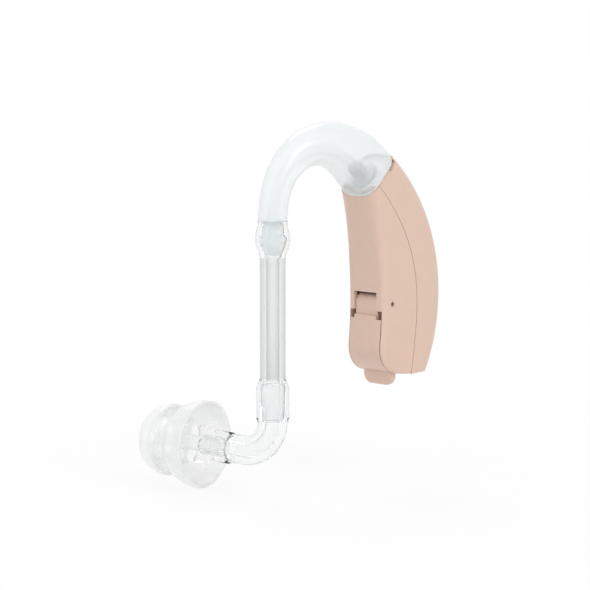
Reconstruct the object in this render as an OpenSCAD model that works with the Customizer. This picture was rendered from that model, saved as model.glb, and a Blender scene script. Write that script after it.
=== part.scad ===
// Behind-the-ear hearing aid with an ear hook, a sound tube, an elbow and a soft ear tip.
// The origin is the ear saddle, the inner top of the hook, which hangs on the root of the ear.
// +Z is up, the case lies towards +X, the sound tube towards -X, and the ear tip points to +Y.
// Profile points are [x, z] pairs in the plane of the hook.

/* [Case] */
// Thickness of the case, side to side
case_thickness = 8.6; // [8.4:0.1:9.4]
// Depth of the lowest point of the case below the ear saddle
case_drop = 34.3; // [34.2:0.1:35.5]
// Distance of the front corner of the hook seat behind the ear saddle
seat_offset = 7.7; // [7.4:0.1:8.2]
// Depth of that corner below the ear saddle
seat_drop = 4.9; // [4.5:0.1:5.2]
// Length of the hook seat, front to back
seat_length = 8.75; // [8.5:0.05:9.2]
// Slope of the hook seat, in degrees
seat_tilt = 49; // [46:1:52]
// Radius of the hollow front face at mid width
front_radius = 66.4; // [60:0.2:90]
// Radius of the rounded back
back_radius = 29.9; // [28:0.1:34]
// Distance of the front face behind the ear saddle, at the foot of the case
foot_front = 8.85; // [8.6:0.05:9.1]
// Distance of the back behind the ear saddle, at the foot of the case
foot_back = 21.1; // [20.8:0.1:22]
// Radius of the curved underside
bottom_radius = 30; // [24:1:60]
// Distance of the lowest point of the underside behind the ear saddle
bottom_low = 17.3; // [16.5:0.1:18]
// Radius of the corner between the front face and the underside
front_corner = 4.5; // [4:0.1:4.9]
// Radius of the corner between the back and the underside
back_corner = 1; // [0.9:0.1:1.6]
// Rounding of the two front edges
front_edge = 0.9; // [0.85:0.05:1.4]
// Rounding of the two back edges
back_edge = 2.5; // [1.5:0.1:3]
// Height by which the front face swells at mid width
face_crown = 0.35; // [0.2:0.05:0.6]
// Wall of the front, the back and the underside
shell_wall = 0.8; // [0.6:0.05:0.85]
// Wall of the two sides
cheek_wall = 0.65; // [0.5:0.05:0.75]
// Gap along the parting line between the two shells
parting_gap = 0.06; // [0.04:0.01:0.12]

/* [Battery door] */
// Width of the battery door
door_width = 7.2; // [7:0.05:7.25]
// Gap round the battery door
door_gap = 0.07; // [0.05:0.01:0.12]
// Depth of the upper edge of the door below the ear saddle
door_top_drop = 25; // [24.9:0.05:25.2]
// Depth of the upper edge of the window round the knuckle
window_drop = 20.6; // [20:0.05:20.7]
// Width of the hinge knuckle
knuckle_width = 5.05; // [4.4:0.05:5.4]
// Radius of the hinge knuckle
knuckle_radius = 1.95; // [1.7:0.05:2]
// Distance of the hinge pin behind the ear saddle
pin_offset = 12.15; // [12:0.05:12.3]
// Depth of the hinge pin below the ear saddle
pin_drop = 22.5; // [22.4:0.05:22.6]
// Diameter of the hinge pin
pin_diameter = 0.8; // [0.6:0.05:1]
// Length of the hinge pin
pin_length = 8; // [7.8:0.1:8.3]
// Length of the finger tab under the door
tab_length = 1.8; // [1.2:0.1:2.4]
// Width of the finger tab at the case
tab_width = 6.8; // [5.6:0.1:7]
// Thickness of the finger tab
tab_thickness = 0.95; // [0.7:0.05:1.2]

/* [Battery] */
// Diameter of the button cell
cell_diameter = 7.9; // [7.7:0.05:7.95]
// Height of the button cell
cell_height = 5.4; // [5:0.1:5.5]
// Diameter of the negative cap of the cell
cell_cap_diameter = 6; // [5:0.1:6.4]

/* [Ear hook] */
// Radius of the hook where it meets the tube
hook_end_radius = 2.36; // [2.2:0.02:2.6]
// Distance of the tube axis in front of the ear saddle
tube_offset = 10.12; // [9.8:0.02:10.6]
// Depth of the shoulder of the hook below the ear saddle
shoulder_drop = 7.95; // [7.5:0.05:8.4]
// Radius of the sound bore in the hook
hook_bore_radius = 0.95; // [0.7:0.05:1.1]
// Largest diameter of the barb
barb_diameter = 4.2; // [3.9:0.05:4.4]
// Diameter of the neck above the barb
neck_diameter = 3.3; // [3:0.05:3.5]
// Diameter of the tip of the barb
barb_tip_diameter = 2.5; // [2.4:0.05:2.8]
// Length of the neck and the barb together
barb_length = 5.4; // [5:0.1:6]

/* [Sound tube] */
// Outer diameter of the sound tube
tube_diameter = 4.1; // [3.8:0.05:4.4]
// Bore of the sound tube
tube_bore = 2.1; // [1.9:0.05:2.3]
// Depth of the lower end of the tube below the ear saddle
tube_end_drop = 39.7; // [38:0.1:42]
// Running clearance between the tube and what it is pushed on to
tube_clearance = 0.05; // [0.03:0.01:0.08]

/* [Elbow] */
// Outer diameter of the elbow
elbow_diameter = 4.74; // [4.5:0.02:5]
// Diameter of the spigot inside the sound tube
spigot_diameter = 3.8; // [3.6:0.05:3.9]
// Length of that spigot
spigot_length = 5.8; // [5:0.1:6.5]
// Bend radius of the elbow at its axis
elbow_bend = 5.3; // [5:0.1:6]
// Turn of the arm from the sideways direction towards the front, in degrees
arm_turn = 14; // [8:1:20]
// Climb of the arm, in degrees
arm_climb = 1.5; // [0:0.5:6]
// Distance from the tube axis to the end of the elbow's thick part
arm_length = 8.1; // [7.6:0.1:9]
// Diameter of the spigot inside the ear tip
tip_spigot_diameter = 2.9; // [2.7:0.05:3.1]
// Length of that spigot
tip_spigot_length = 5.2; // [4.5:0.1:6]

/* [Ear tip] */
// Diameter of the stem
stem_diameter = 5.1; // [4.9:0.05:5.4]
// Diameter of the large flange
flange_diameter = 14.3; // [13:0.1:15]
// Diameter of the front dome
dome_diameter = 11.8; // [11:0.1:12.5]
// Distance from the tube axis to the rim of the large flange
flange_reach = 13.2; // [12.8:0.1:14]
// Distance from the rim of the flange to the rim of the dome
dome_step = 6.6; // [6.2:0.1:7.2]
// Height of the dome in front of its rim
dome_height = 4.9; // [4.4:0.1:5.4]
// Thickness of the soft skirts at their rims
skirt_wall = 0.5; // [0.4:0.05:0.6]
// Diameter of the sound outlet
outlet_diameter = 2.2; // [1.8:0.1:2.6]

/* [Controls] */
// Depth of the program button below the ear saddle
button_drop = 25.4; // [24.8:0.1:26]
// Width of the program button, across the back
button_width = 5.4; // [4.6:0.1:5.8]
// Height of the program button
button_height = 1.5; // [1.2:0.1:1.8]
// Travel of the program button
button_travel = 0.3; // [0.2:0.05:0.35]

/* [Hidden] */
$fn = 96;

// One overrun serves every cut
over = 1;
// Reach of a region that is only there to be cut
reach = 40;
// Depth by which the corners of the case's outline cross its faces
corner_bite = 0.03;
// Height by which the rounded front edges cross the crown of the face
edge_bite = 0.005;
// Gap between fixed pieces that sit against each other
seat_gap = 0.03;
// Gap between a fixed piece and the inside of the shells
inside_gap = 0.15;
// Radial clearance of the hinge pin in the knuckle
hinge_clearance = 0.05;
// Radial clearance of the hinge pin in the shell
pin_hole_clearance = 0.02;

half_thickness = case_thickness / 2;
inner_half = half_thickness - cheek_wall;

// Directions along the hook seat, front to back, and into the case
seat_along = [cos(seat_tilt), sin(seat_tilt)];
seat_in = [sin(seat_tilt), -cos(seat_tilt)];
seat_front = [seat_offset, -seat_drop];
seat_back = seat_front + seat_length * seat_along;
seat_middle = (seat_front + seat_back) / 2;

function unit(v) = v / norm(v);
function turned(v) = [v.y, -v.x];
// Centre of the arc of radius r from p down to q, on the side of the ear saddle
function arc_centre(p, q, r) =
    (p + q) / 2 + sqrt(r * r - pow(norm(q - p) / 2, 2)) * turned(unit(q - p));
// Where two circles meet, on the chosen side of the line between their centres
function circles_meet(a, ra, b, rb, side) =
    let (d = norm(b - a), along = (ra * ra - rb * rb + d * d) / (2 * d))
    a + along * unit(b - a) + side * sqrt(ra * ra - along * along) * turned(unit(b - a));
function bezier(p, t) =
    pow(1 - t, 3) * p[0] + 3 * pow(1 - t, 2) * t * p[1] + 3 * (1 - t) * t * t * p[2] + pow(t, 3) * p[3];
function bezier_way(p, t) =
    unit(pow(1 - t, 2) * (p[1] - p[0]) + 2 * (1 - t) * t * (p[2] - p[1]) + t * t * (p[3] - p[2]));
function seat_point(along, depth) = seat_front + along * seat_along + depth * seat_in;
function in_space(p, y = 0) = [p.x, y, p.y];

front_centre = arc_centre(seat_front, [foot_front, -case_drop], front_radius);
back_centre = arc_centre(seat_back, [foot_back, -case_drop], back_radius);
bottom_centre = [bottom_low, bottom_radius - case_drop];
front_corner_centre = circles_meet(
    front_centre, front_radius + front_corner - corner_bite, bottom_centre, bottom_radius - front_corner, 1);
back_corner_centre = circles_meet(
    back_centre, back_radius - back_corner + corner_bite, bottom_centre, bottom_radius - back_corner, 1);
crown_radius = (half_thickness * half_thickness + face_crown * face_crown) / (2 * face_crown);

// Parting line between the shells, seen from the side
parting_start = 2.3;
parting_foot = 16.5;
parting_lean = 46;
parting_foot_lean = 8;
parting_reach = 16;
parting_rise = 10;
parting_steps = 16;
parting_top = seat_point(parting_start, 0);
parting_low = [parting_foot, -case_drop];
parting_way = [cos(parting_lean), -sin(parting_lean)];
parting_foot_way = [sin(parting_foot_lean), cos(parting_foot_lean)];
parting_curve = [
    parting_top, parting_top + parting_reach * parting_way,
    parting_low + parting_rise * parting_foot_way, parting_low
];
parting_points = [for (i = [0 : parting_steps]) bezier(parting_curve, i / parting_steps)];

hinge = [pin_offset, -pin_drop];
pin_radius = pin_diameter / 2;

// The cell lies against the inside of the door
cell_radius = cell_diameter / 2;
cell_gap = 0.12;
cell_foot_gap = 0.16;
cell = [
    front_centre.x + sqrt(pow(front_radius + shell_wall + cell_gap + cell_radius, 2)
        - pow(-case_drop + shell_wall + cell_foot_gap + cell_radius - front_centre.y, 2)),
    -case_drop + shell_wall + cell_foot_gap + cell_radius
];
cradle_gap = 0.06;
cradle_wall = 0.42;
cradle_half_width = 2.2;
cradle_radius = cell_radius + cradle_gap + cradle_wall;
// Directions in which the cradle ends, above and below the cell
cradle_top_turn = 75;
cradle_foot_turn = 38;
// The door's underside ends just in front of the parting line
door_foot = parting_foot - parting_gap - door_gap;

// Straight runs along the round corners and the underside of the case's outline
front_corner_steps = 12;
back_corner_steps = 5;
bottom_steps = 6;
// Half angles of the sweeps that make the front face and the back
front_sweep = 30;
back_sweep = 75;

// Turns a profile drawn in [x, z] into a slab that is centred on the plane of the hook
module slab(width) {
    rotate([90, 0, 0])
        linear_extrude(height = width, center = true)
            children();
}

// Sweeps a profile of [radius, y] round a sideways axis, through turn degrees up and down
module about(centre, turn) {
    translate(in_space(centre))
        rotate([90, 0, 0])
            rotate([0, 0, -turn])
                rotate_extrude(angle = 2 * turn, $fn = 240)
                    children();
}

// Points of the arc of radius r round a centre, from the direction of one vector to that of the other
function arc_points(centre, r, from, to, steps) =
    let (start = atan2(from.y, from.x), swing = atan2(to.y, to.x) - start)
    [for (i = [0 : steps])
        let (angle = start + (swing > 180 ? swing - 360 : swing < -180 ? swing + 360 : swing) * i / steps)
        centre + r * [cos(angle), sin(angle)]];

// Outline of the case from the side, drawn in by inset, and by top at the hook seat
module case_profile(inset, top) {
    front = seat_front + top * seat_in;
    down_front = front_corner_centre - bottom_centre;
    down_back = back_corner_centre - bottom_centre;
    out_back = back_corner_centre - back_centre;
    far = back_corner_centre + reach * unit(out_back);
    polygon(concat(
        [front_centre],
        arc_points(front_corner_centre, front_corner - inset,
            front_centre - front_corner_centre, down_front, front_corner_steps),
        arc_points(bottom_centre, bottom_radius - inset, down_front, down_back, bottom_steps),
        arc_points(back_corner_centre, back_corner - inset, down_back, out_back, back_corner_steps),
        [far, [far.x, seat_back.y + reach], front + reach * seat_along, front - over * seat_along,
         [front_centre.x, front.y]]
    ));
}

// Section of the front face, with its crown and its rounded edges
module front_section(inset, half) {
    edge = max(front_edge - inset, front_edge / 4);
    crown = crown_radius - inset;
    middle = front_radius + crown_radius;
    edge_height = half - edge;
    edge_place = middle - edge_bite - sqrt(pow(crown - edge, 2) - edge_height * edge_height);
    far = front_radius + reach;
    for (side = [-1, 1])
        translate([edge_place, side * edge_height])
            circle(edge);
    intersection() {
        translate([middle, 0])
            circle(crown, $fn = 180);
        polygon([
            [middle, 0],
            [middle - reach, edge_height * reach / (middle - edge_place)],
            [middle - reach, -edge_height * reach / (middle - edge_place)]
        ]);
    }
    translate([edge_place, -half])
        square([far - edge_place, 2 * half]);
}

// Section of the back, with its rounded edges
module back_section(inset, half) {
    edge = max(back_edge - inset, back_edge / 4);
    outer = back_radius - inset;
    for (side = [-1, 1])
        translate([outer - edge, side * (half - edge)])
            circle(edge);
    translate([0, -half])
        square([outer - edge, 2 * half]);
    translate([0, edge - half])
        square([outer, 2 * (half - edge)]);
}

// The whole form of the case, drawn in by inset at the faces, cheek at the sides and top at the hook seat
module case_form(inset = 0, cheek = 0, top = 0) {
    half = half_thickness - cheek;
    intersection() {
        about(back_centre, back_sweep) back_section(inset, half);
        about(front_centre, front_sweep) front_section(inset, half);
        slab(case_thickness + over) case_profile(inset, top);
    }
}

module case_wall() {
    difference() {
        case_form();
        case_form(shell_wall, cheek_wall, shell_wall);
    }
}

// Everything behind the parting line, moved back by shift
module rear_region(shift) {
    translate([shift, 0, 0])
        slab(case_thickness + 2 * over)
            polygon(concat(
                [parting_top - over * seat_in],
                parting_points,
                [parting_low - over * parting_foot_way, [reach, -case_drop - over],
                 [reach, seat_back.y + reach]]
            ));
}

module side_hole(centre, radius, width) {
    translate(in_space(centre))
        rotate([90, 0, 0])
            cylinder(r = radius, h = width, center = true);
}

// Nipple: the metal spout that the ear hook is pushed on to
nipple_place = 3.6;
nipple_radius = 1.25;
nipple_bore = 0.6;
nipple_stem_radius = 0.85;
nipple_core_share = 0.84;
nipple_ring_shares = [0.35, 0.6, 0.85];
nipple_ring_share = 0.15;
nipple_out = 3.4;
nipple_in = 2.6;
nipple_flange_radius = 1.75;
nipple_flange = 0.45;
boss_radius = 1.95;
boss_depth = 1.6;
socket_clearance = 0.04;
nipple_seat = seat_point(nipple_place, 0);

// Places a piece with +Z out of the case along the nipple
module at_nipple() {
    translate(in_space(nipple_seat))
        rotate([0, -seat_tilt, 0])
            children();
}

// Slot beside the hook through which sound reaches the microphone
inlet_start = 5.6;
inlet_length = 2.3;
inlet_depth = 0.4;
inlet_port_place = 6.6;
inlet_port_radius = 0.5;

module rear_shell() {
    color([0.86, 0.71, 0.62])
    difference() {
        intersection() {
            case_wall();
            rear_region(parting_gap / 2);
        }
        at_nipple() translate([0, 0, -shell_wall - over])
            cylinder(r = boss_radius + seat_gap, h = shell_wall + 2 * over);
        slab(case_thickness + over) polygon([
            seat_point(inlet_start, -over), seat_point(inlet_start, inlet_depth),
            seat_point(inlet_start + inlet_length, inlet_depth),
            seat_point(inlet_start + inlet_length, -over)
        ]);
        translate(in_space(seat_point(inlet_port_place, 0)))
            rotate([0, -seat_tilt, 0])
                cylinder(r = inlet_port_radius, h = 2 * (shell_wall + over), center = true);
        at_button() button_outline(button_gap, button_depth + over, -button_depth);
    }
}

notch_top = 23.6;
notch_gap = 0.2;
boss_wall = 0.75;
knuckle_gap = 0.1;
window_half = knuckle_width / 2 + knuckle_gap;

module front_shell() {
    opening_half = door_width / 2 + door_gap;
    color([0.86, 0.71, 0.62])
    difference() {
        union() {
            difference() {
                case_wall();
                rear_region(-parting_gap / 2);
                // Opening for the door, with its notches above
                translate([0, -opening_half, -case_drop - over])
                    cube([reach, 2 * opening_half, case_drop + over - door_top_drop + notch_gap]);
                translate([0, -opening_half, -door_top_drop])
                    cube([hinge.x, 2 * opening_half, door_top_drop - notch_top]);
                // Window round the knuckle
                translate([0, -window_half, -door_top_drop])
                    cube([hinge.x, 2 * window_half, door_top_drop - window_drop]);
            }
            // Bosses that carry the ends of the hinge pin
            for (side = [-1, 1])
                translate([hinge.x, side * (window_half + inner_half + cheek_wall / 2) / 2, hinge.y])
                    rotate([90, 0, 0])
                        cylinder(r = pin_radius + boss_wall,
                            h = inner_half + cheek_wall / 2 - window_half, center = true);
        }
        side_hole(hinge, pin_radius + pin_hole_clearance, case_thickness + over);
        at_nipple() translate([0, 0, -shell_wall - over])
            cylinder(r = boss_radius + seat_gap, h = shell_wall + 2 * over);
    }
}

module door_hinge_pin() {
    color([0.75, 0.75, 0.76])
        side_hole(hinge, pin_radius, pin_length);
}

// Ledge at the top of the door, below the recessed front of the knuckle
knuckle_recess = 0.25;
ledge_drop = 24.4;
tab_back = 13.9;
tab_corner = 1.6;
tab_lean_share = 0.62;

module tab_outline() {
    low = -case_drop - tab_length;
    half = tab_width / 2;
    foot = half * tab_lean_share;
    intersection() {
        union() {
            polygon([
                [-half, -case_drop + shell_wall], [half, -case_drop + shell_wall],
                [half, -case_drop], [foot + tab_corner / 2, low + tab_corner],
                [foot - tab_corner / 2, low], [tab_corner / 2 - foot, low],
                [-foot - tab_corner / 2, low + tab_corner], [-half, -case_drop]
            ]);
            for (side = [-1, 1])
                translate([side * (foot - tab_corner / 2), low + tab_corner])
                    circle(tab_corner);
        }
        translate([-half, low])
            square([2 * half, tab_length + shell_wall]);
    }
}

module battery_door() {
    color([0.86, 0.71, 0.62])
    difference() {
        union() {
            // Skin: the case's wall in front of and below the cell, with a ledge under the knuckle
            intersection() {
                difference() {
                    case_form();
                    case_form(shell_wall, 0, shell_wall);
                }
                union() {
                    translate([0, -door_width / 2, -case_drop - over])
                        cube([door_foot, door_width, case_drop + over - door_top_drop]);
                    translate([0, -knuckle_width / 2, -door_top_drop - over])
                        cube([hinge.x, knuckle_width, door_top_drop + over - ledge_drop]);
                }
            }
            // Knuckle, drawn back a little from the face of the case
            intersection() {
                case_form(knuckle_recess, 0, 0);
                translate([0, -knuckle_width / 2, -door_top_drop - shell_wall])
                    cube([reach, knuckle_width, door_top_drop + shell_wall - window_drop + over]);
                union() {
                    side_hole(hinge, knuckle_radius, case_thickness);
                    translate([0, -half_thickness, -door_top_drop - shell_wall])
                        cube([hinge.x, case_thickness, door_top_drop + shell_wall - pin_drop]);
                }
            }
            // Cradle round the cell
            intersection() {
                difference() {
                    side_hole(cell, cradle_radius, 2 * cradle_half_width);
                    side_hole(cell, cell_radius + cradle_gap, case_thickness);
                }
                case_form(shell_wall / 2, 0, 0);
                slab(case_thickness) polygon([
                    cell, cell + reach * [cos(cradle_top_turn), sin(cradle_top_turn)],
                    [cell.x - reach, cell.y + reach], [cell.x - reach, cell.y - reach],
                    cell + reach * [cos(cradle_foot_turn), -sin(cradle_foot_turn)]
                ]);
            }
            // Finger tab
            translate([tab_back - tab_thickness, 0, 0])
                rotate([90, 0, 90])
                    linear_extrude(height = tab_thickness)
                        tab_outline();
        }
        side_hole(hinge, pin_radius + hinge_clearance, case_thickness);
        side_hole(cell, cell_radius + cradle_gap, case_thickness);
    }
}

// Button cell
cell_base_share = 0.86;
cell_lip = 0.3;
cell_air_hole = 0.22;
cell_air_ring = 1.9;
cell_cap_radius = cell_cap_diameter / 2;
cell_seal_wall = 0.32;
cell_seal_radius = cell_cap_radius + cell_seal_wall;
cell_fit = 0.02;

module battery_can() {
    height = cell_height - cell_lip;
    color([0.78, 0.78, 0.79])
    translate([cell.x, -cell_height / 2, cell.y])
        rotate([-90, 0, 0])
            difference() {
                union() {
                    cylinder(r = cell_radius, h = height * cell_base_share);
                    translate([0, 0, height * cell_base_share])
                        cylinder(r1 = cell_radius, r2 = cell_seal_radius + cell_lip,
                            h = height * (1 - cell_base_share));
                }
                translate([0, 0, height / 2])
                    cylinder(r = cell_seal_radius, h = height);
                for (turn = [0 : 90 : 270])
                    rotate([0, 0, turn])
                        translate([cell_air_ring, 0, -over])
                            cylinder(r = cell_air_hole, h = over + cell_lip, $fn = 24);
            }
}

module battery_seal() {
    height = cell_height - cell_lip;
    color([0.1, 0.1, 0.11])
    translate([cell.x, -cell_height / 2, cell.y])
        rotate([-90, 0, 0])
            difference() {
                translate([0, 0, height / 2])
                    cylinder(r = cell_seal_radius - cell_fit, h = height / 2);
                translate([0, 0, height / 2 - over])
                    cylinder(r = cell_cap_radius + cell_fit, h = height);
            }
}

module battery_cap() {
    height = cell_height - cell_lip;
    rounding = cell_lip;
    color([0.8, 0.79, 0.76])
    translate([cell.x, -cell_height / 2, cell.y])
        rotate([-90, 0, 0])
            translate([0, 0, height / 2]) {
                cylinder(r = cell_cap_radius, h = cell_height - height / 2 - rounding);
                translate([0, 0, cell_height - height / 2 - rounding])
                    cylinder(r1 = cell_cap_radius, r2 = cell_cap_radius - rounding, h = rounding);
            }
}

// Nipple and its seal
seal_radius = 2.25;
seal_thickness = 0.5;

module hook_nipple() {
    color([0.74, 0.76, 0.79])
    at_nipple()
        difference() {
            union() {
                translate([0, 0, -nipple_in])
                    cylinder(r = nipple_stem_radius, h = nipple_in + nipple_flange / 2);
                cylinder(r = nipple_flange_radius, h = nipple_flange);
                cylinder(r = nipple_radius * nipple_core_share, h = nipple_out);
                for (share = nipple_ring_shares)
                    translate([0, 0, nipple_out * share])
                        cylinder(r1 = nipple_radius, r2 = nipple_radius * nipple_core_share,
                            h = nipple_out * nipple_ring_share);
            }
            translate([0, 0, -nipple_in - over])
                cylinder(r = nipple_bore, h = nipple_in + nipple_out + 2 * over);
        }
}

module nipple_seal() {
    color([0.25, 0.25, 0.27])
    at_nipple()
        translate([0, 0, seal_thickness / 2])
            rotate_extrude()
                translate([seal_radius, 0])
                    circle(seal_thickness / 2 - seat_gap);
}

// Ear hook
hook_lean = 38.7;
hook_reach = 12;
hook_fall = 12.3;
hook_rings = 30;
hook_sides = 32;
hook_square = 3.2;
hook_square_share = 0.45;
hook_taper_power = 1.25;
hook_width_share = 0.94;
hook_hold_share = 0.2;
bore_reach_share = 0.7;
bore_fall_share = 0.93;
hook_inset = 0.05;
hook_base_radius = seat_length / 2 - hook_inset;
hook_end = [-tube_offset, -shoulder_drop];
hook_curve = [
    seat_middle, seat_middle + hook_reach * [-sin(hook_lean), cos(hook_lean)],
    hook_end + [0, hook_fall], hook_end
];
bore_start = nipple_seat - (nipple_out + seat_gap) * seat_in;
bore_curve = [
    bore_start, bore_start - hook_reach * bore_reach_share * seat_in,
    hook_end + [0, hook_fall * bore_fall_share], hook_end
];

function smooth(t) = t * t * (3 - 2 * t);
function hook_radius(t) =
    hook_end_radius + (hook_base_radius - hook_end_radius) * pow((1 + cos(180 * t)) / 2, hook_taper_power);
function hook_angle(t) =
    let (way = bezier_way(hook_curve, t), free = atan2(way.y, way.x) - 90,
         round = free < -180 ? free + 360 : free,
         hold = max(0, 1 - t / hook_hold_share))
    round + (seat_tilt - round) * smooth(hold);
function rounded(v, power) = sign(v) * pow(abs(v), 2 / power);

// One ring of the hook: across is the half size in the plane of the hook, and side the half size across it
function hook_ring(t) =
    let (centre = bezier(hook_curve, t), angle = hook_angle(t), across = hook_radius(t),
         side = across * (hook_width_share + (1 - hook_width_share) * min(1, 2 * t)),
         power = 2 + (hook_square - 2) * (1 - smooth(min(1, t / hook_square_share))))
    [for (k = [0 : hook_sides - 1])
        let (turn = 360 * k / hook_sides,
             flat = centre + across * rounded(cos(turn), power) * [cos(angle), sin(angle)])
        in_space(flat, side * rounded(sin(turn), power))];

// One ring of a plain round channel along a curve in the plane of the hook
function channel_ring(curve, t, radius, sides) =
    let (centre = bezier(curve, t), way = bezier_way(curve, t))
    [for (k = [0 : sides - 1])
        let (turn = 360 * k / sides, flat = centre + radius * cos(turn) * [way.y, -way.x])
        in_space(flat, radius * sin(turn))];

// A closed skin through rings that each have the same number of points
module loft(rings) {
    count = len(rings);
    sides = len(rings[0]);
    points = [for (ring = rings) each ring];
    walls = [
        for (i = [0 : count - 2])
            for (k = [0 : sides - 1])
                let (a = i * sides + k, b = i * sides + (k + 1) % sides)
                each [[a, b + sides, b], [a, a + sides, b + sides]]
    ];
    ends = [
        [for (k = [0 : sides - 1]) k],
        [for (k = [sides - 1 : -1 : 0]) (count - 1) * sides + k]
    ];
    polyhedron(points, concat(walls, ends));
}

// Depths below the shoulder at which the barb starts to widen and to narrow
barb_rise_share = 0.42;
barb_wide_share = 0.58;
barb_rise = barb_rise_share * barb_length;
barb_wide_low = barb_wide_share * barb_length;
barb_bite = 0.1;
barb_bore_step = 0.04;

module barb() {
    neck = neck_diameter / 2;
    wide = barb_diameter / 2;
    polygon([
        [0, barb_bite], [neck, barb_bite], [neck, -barb_rise], [wide, -barb_rise - (wide - neck) / 2],
        [wide, -barb_wide_low], [barb_tip_diameter / 2, -barb_length], [0, -barb_length]
    ]);
}

module at_tube_axis(depth) {
    translate([-tube_offset, 0, -depth])
        children();
}

module ear_hook() {
    color([0.93, 0.95, 0.96, 0.6])
    difference() {
        union() {
            loft([for (i = [0 : hook_rings]) hook_ring(i / hook_rings)]);
            at_tube_axis(shoulder_drop)
                rotate_extrude()
                    barb();
        }
        loft([for (i = [0 : hook_rings]) channel_ring(bore_curve, i / hook_rings, hook_bore_radius, 16)]);
        // Bore through the barb
        at_tube_axis(shoulder_drop + barb_length + over)
            cylinder(r = hook_bore_radius + barb_bore_step, h = barb_length + over + barb_bite);
        // Socket for the nipple and a recess for its seal
        at_nipple() {
            translate([0, 0, -over])
                cylinder(r = nipple_radius + socket_clearance, h = over + nipple_out + 2 * seat_gap);
            translate([0, 0, -over])
                cylinder(r = seal_radius + seal_thickness / 2 + seat_gap, h = over + seal_thickness);
        }
    }
}

// Sound tube, stretched over the barb at its top and over the spigot of the elbow at its foot
tube_lip = 0.12;
tube_taper = 1;

function stretched(inner) =
    sqrt(inner * inner + (tube_diameter * tube_diameter - tube_bore * tube_bore) / 4);

module sound_tube() {
    bore = tube_bore / 2;
    outer = tube_diameter / 2;
    neck = neck_diameter / 2 + tube_clearance;
    wide = barb_diameter / 2 + tube_clearance;
    tip = barb_tip_diameter / 2 + tube_clearance;
    spigot = spigot_diameter / 2 + tube_clearance;
    length = tube_end_drop - shoulder_drop;
    foot = length - spigot_length;
    color([0.93, 0.95, 0.96, 0.5])
    at_tube_axis(shoulder_drop)
        rotate_extrude()
            polygon([
                [neck, -seat_gap], [hook_end_radius - tube_lip, -seat_gap],
                [hook_end_radius, -seat_gap - tube_lip],
                [stretched(wide), -barb_rise - (wide - neck) / 2], [stretched(wide), -barb_wide_low],
                [stretched(tip), -barb_length], [outer, -barb_length - tube_taper],
                [outer, tube_taper - foot], [stretched(spigot), -foot - tube_taper],
                [stretched(spigot), tube_lip - length], [stretched(spigot) - tube_lip, seat_gap - length],
                [spigot, seat_gap - length], [spigot, tube_clearance - foot],
                [bore, tube_taper / 2 - foot], [bore, -barb_length - tube_taper / 2],
                [tip, -barb_length - tube_clearance], [wide, -barb_wide_low],
                [wide, -barb_rise - (wide - neck) / 2], [neck, -barb_rise]
            ]);
}

// Elbow
elbow_shoulder = 0.2;
shoulder_height = 0.3;
shoulder_step = 0.12;
// Overlap of the straight parts with the bend, and the step by which they are wider
elbow_lap = 0.15;
elbow_lap_step = 0.02;
bend_turn = 90 + arm_climb;
bend_in = elbow_bend * tan(bend_turn / 2);
arm_base = -tube_end_drop - elbow_bend - elbow_shoulder;
bend_top = arm_base + bend_in;

// The arm's own frame: +Z runs along the arm, from the tube axis to the ear tip
module at_arm() {
    translate([-tube_offset, 0, arm_base])
        rotate([0, 0, arm_turn])
            rotate([arm_climb - 90, 0, 0])
                children();
}

// The quarter bend between the tube axis and the arm
module elbow_arc(radius) {
    at_tube_axis(-bend_top)
        rotate([0, 0, arm_turn + 90])
            translate([elbow_bend, 0, 0])
                rotate([90, 0, 0])
                    rotate([0, 0, 180])
                        rotate_extrude(angle = bend_turn)
                            translate([elbow_bend, 0])
                                circle(radius);
}

module tube_elbow() {
    outer = elbow_diameter / 2;
    bore = tube_bore / 2;
    color([0.93, 0.95, 0.96, 0.6])
    difference() {
        union() {
            elbow_arc(outer);
            // Shoulder under the end of the tube, and the spigot inside it
            at_tube_axis(tube_end_drop + shoulder_height)
                cylinder(r = outer + shoulder_step, h = shoulder_height);
            at_tube_axis(tube_end_drop + shoulder_height / 2)
                cylinder(r = spigot_diameter / 2, h = spigot_length + shoulder_height / 2);
            at_arm() {
                translate([0, 0, bend_in - elbow_lap])
                    cylinder(r = outer + elbow_lap_step, h = arm_length + elbow_lap - bend_in);
                translate([0, 0, arm_length])
                    cylinder(r = tip_spigot_diameter / 2, h = tip_spigot_length);
            }
        }
        elbow_arc(bore);
        at_tube_axis(elbow_lap - bend_top)
            cylinder(r = bore + elbow_lap_step, h = reach);
        at_arm()
            translate([0, 0, bend_in - elbow_lap])
                cylinder(r = bore + elbow_lap_step, h = reach);
    }
}

// Ear tip
tip_clearance = 0.05;
tip_end_gap = 0.1;
tip_lip = 0.2;
root_swell = 0.55;
root_step = 1.4;
flange_crown = 1.9;
flange_crown_back = 0.9;
front_neck_radius = 3.2;
dome_neck = 1.2;
dome_crown = 2.6;
outlet_lip = 0.45;
arch_steps = 14;

// Points of a quarter arch from [r0, s0] to [r1, s1], which leaves r0 along the axis
function arch(r0, s0, r1, s1) =
    [for (i = [0 : arch_steps])
        let (turn = 90 * i / arch_steps)
        [r1 + (r0 - r1) * cos(turn), s0 + (s1 - s0) * sin(turn)]];
function reversed(points) = [for (i = [len(points) - 1 : -1 : 0]) points[i]];

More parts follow.
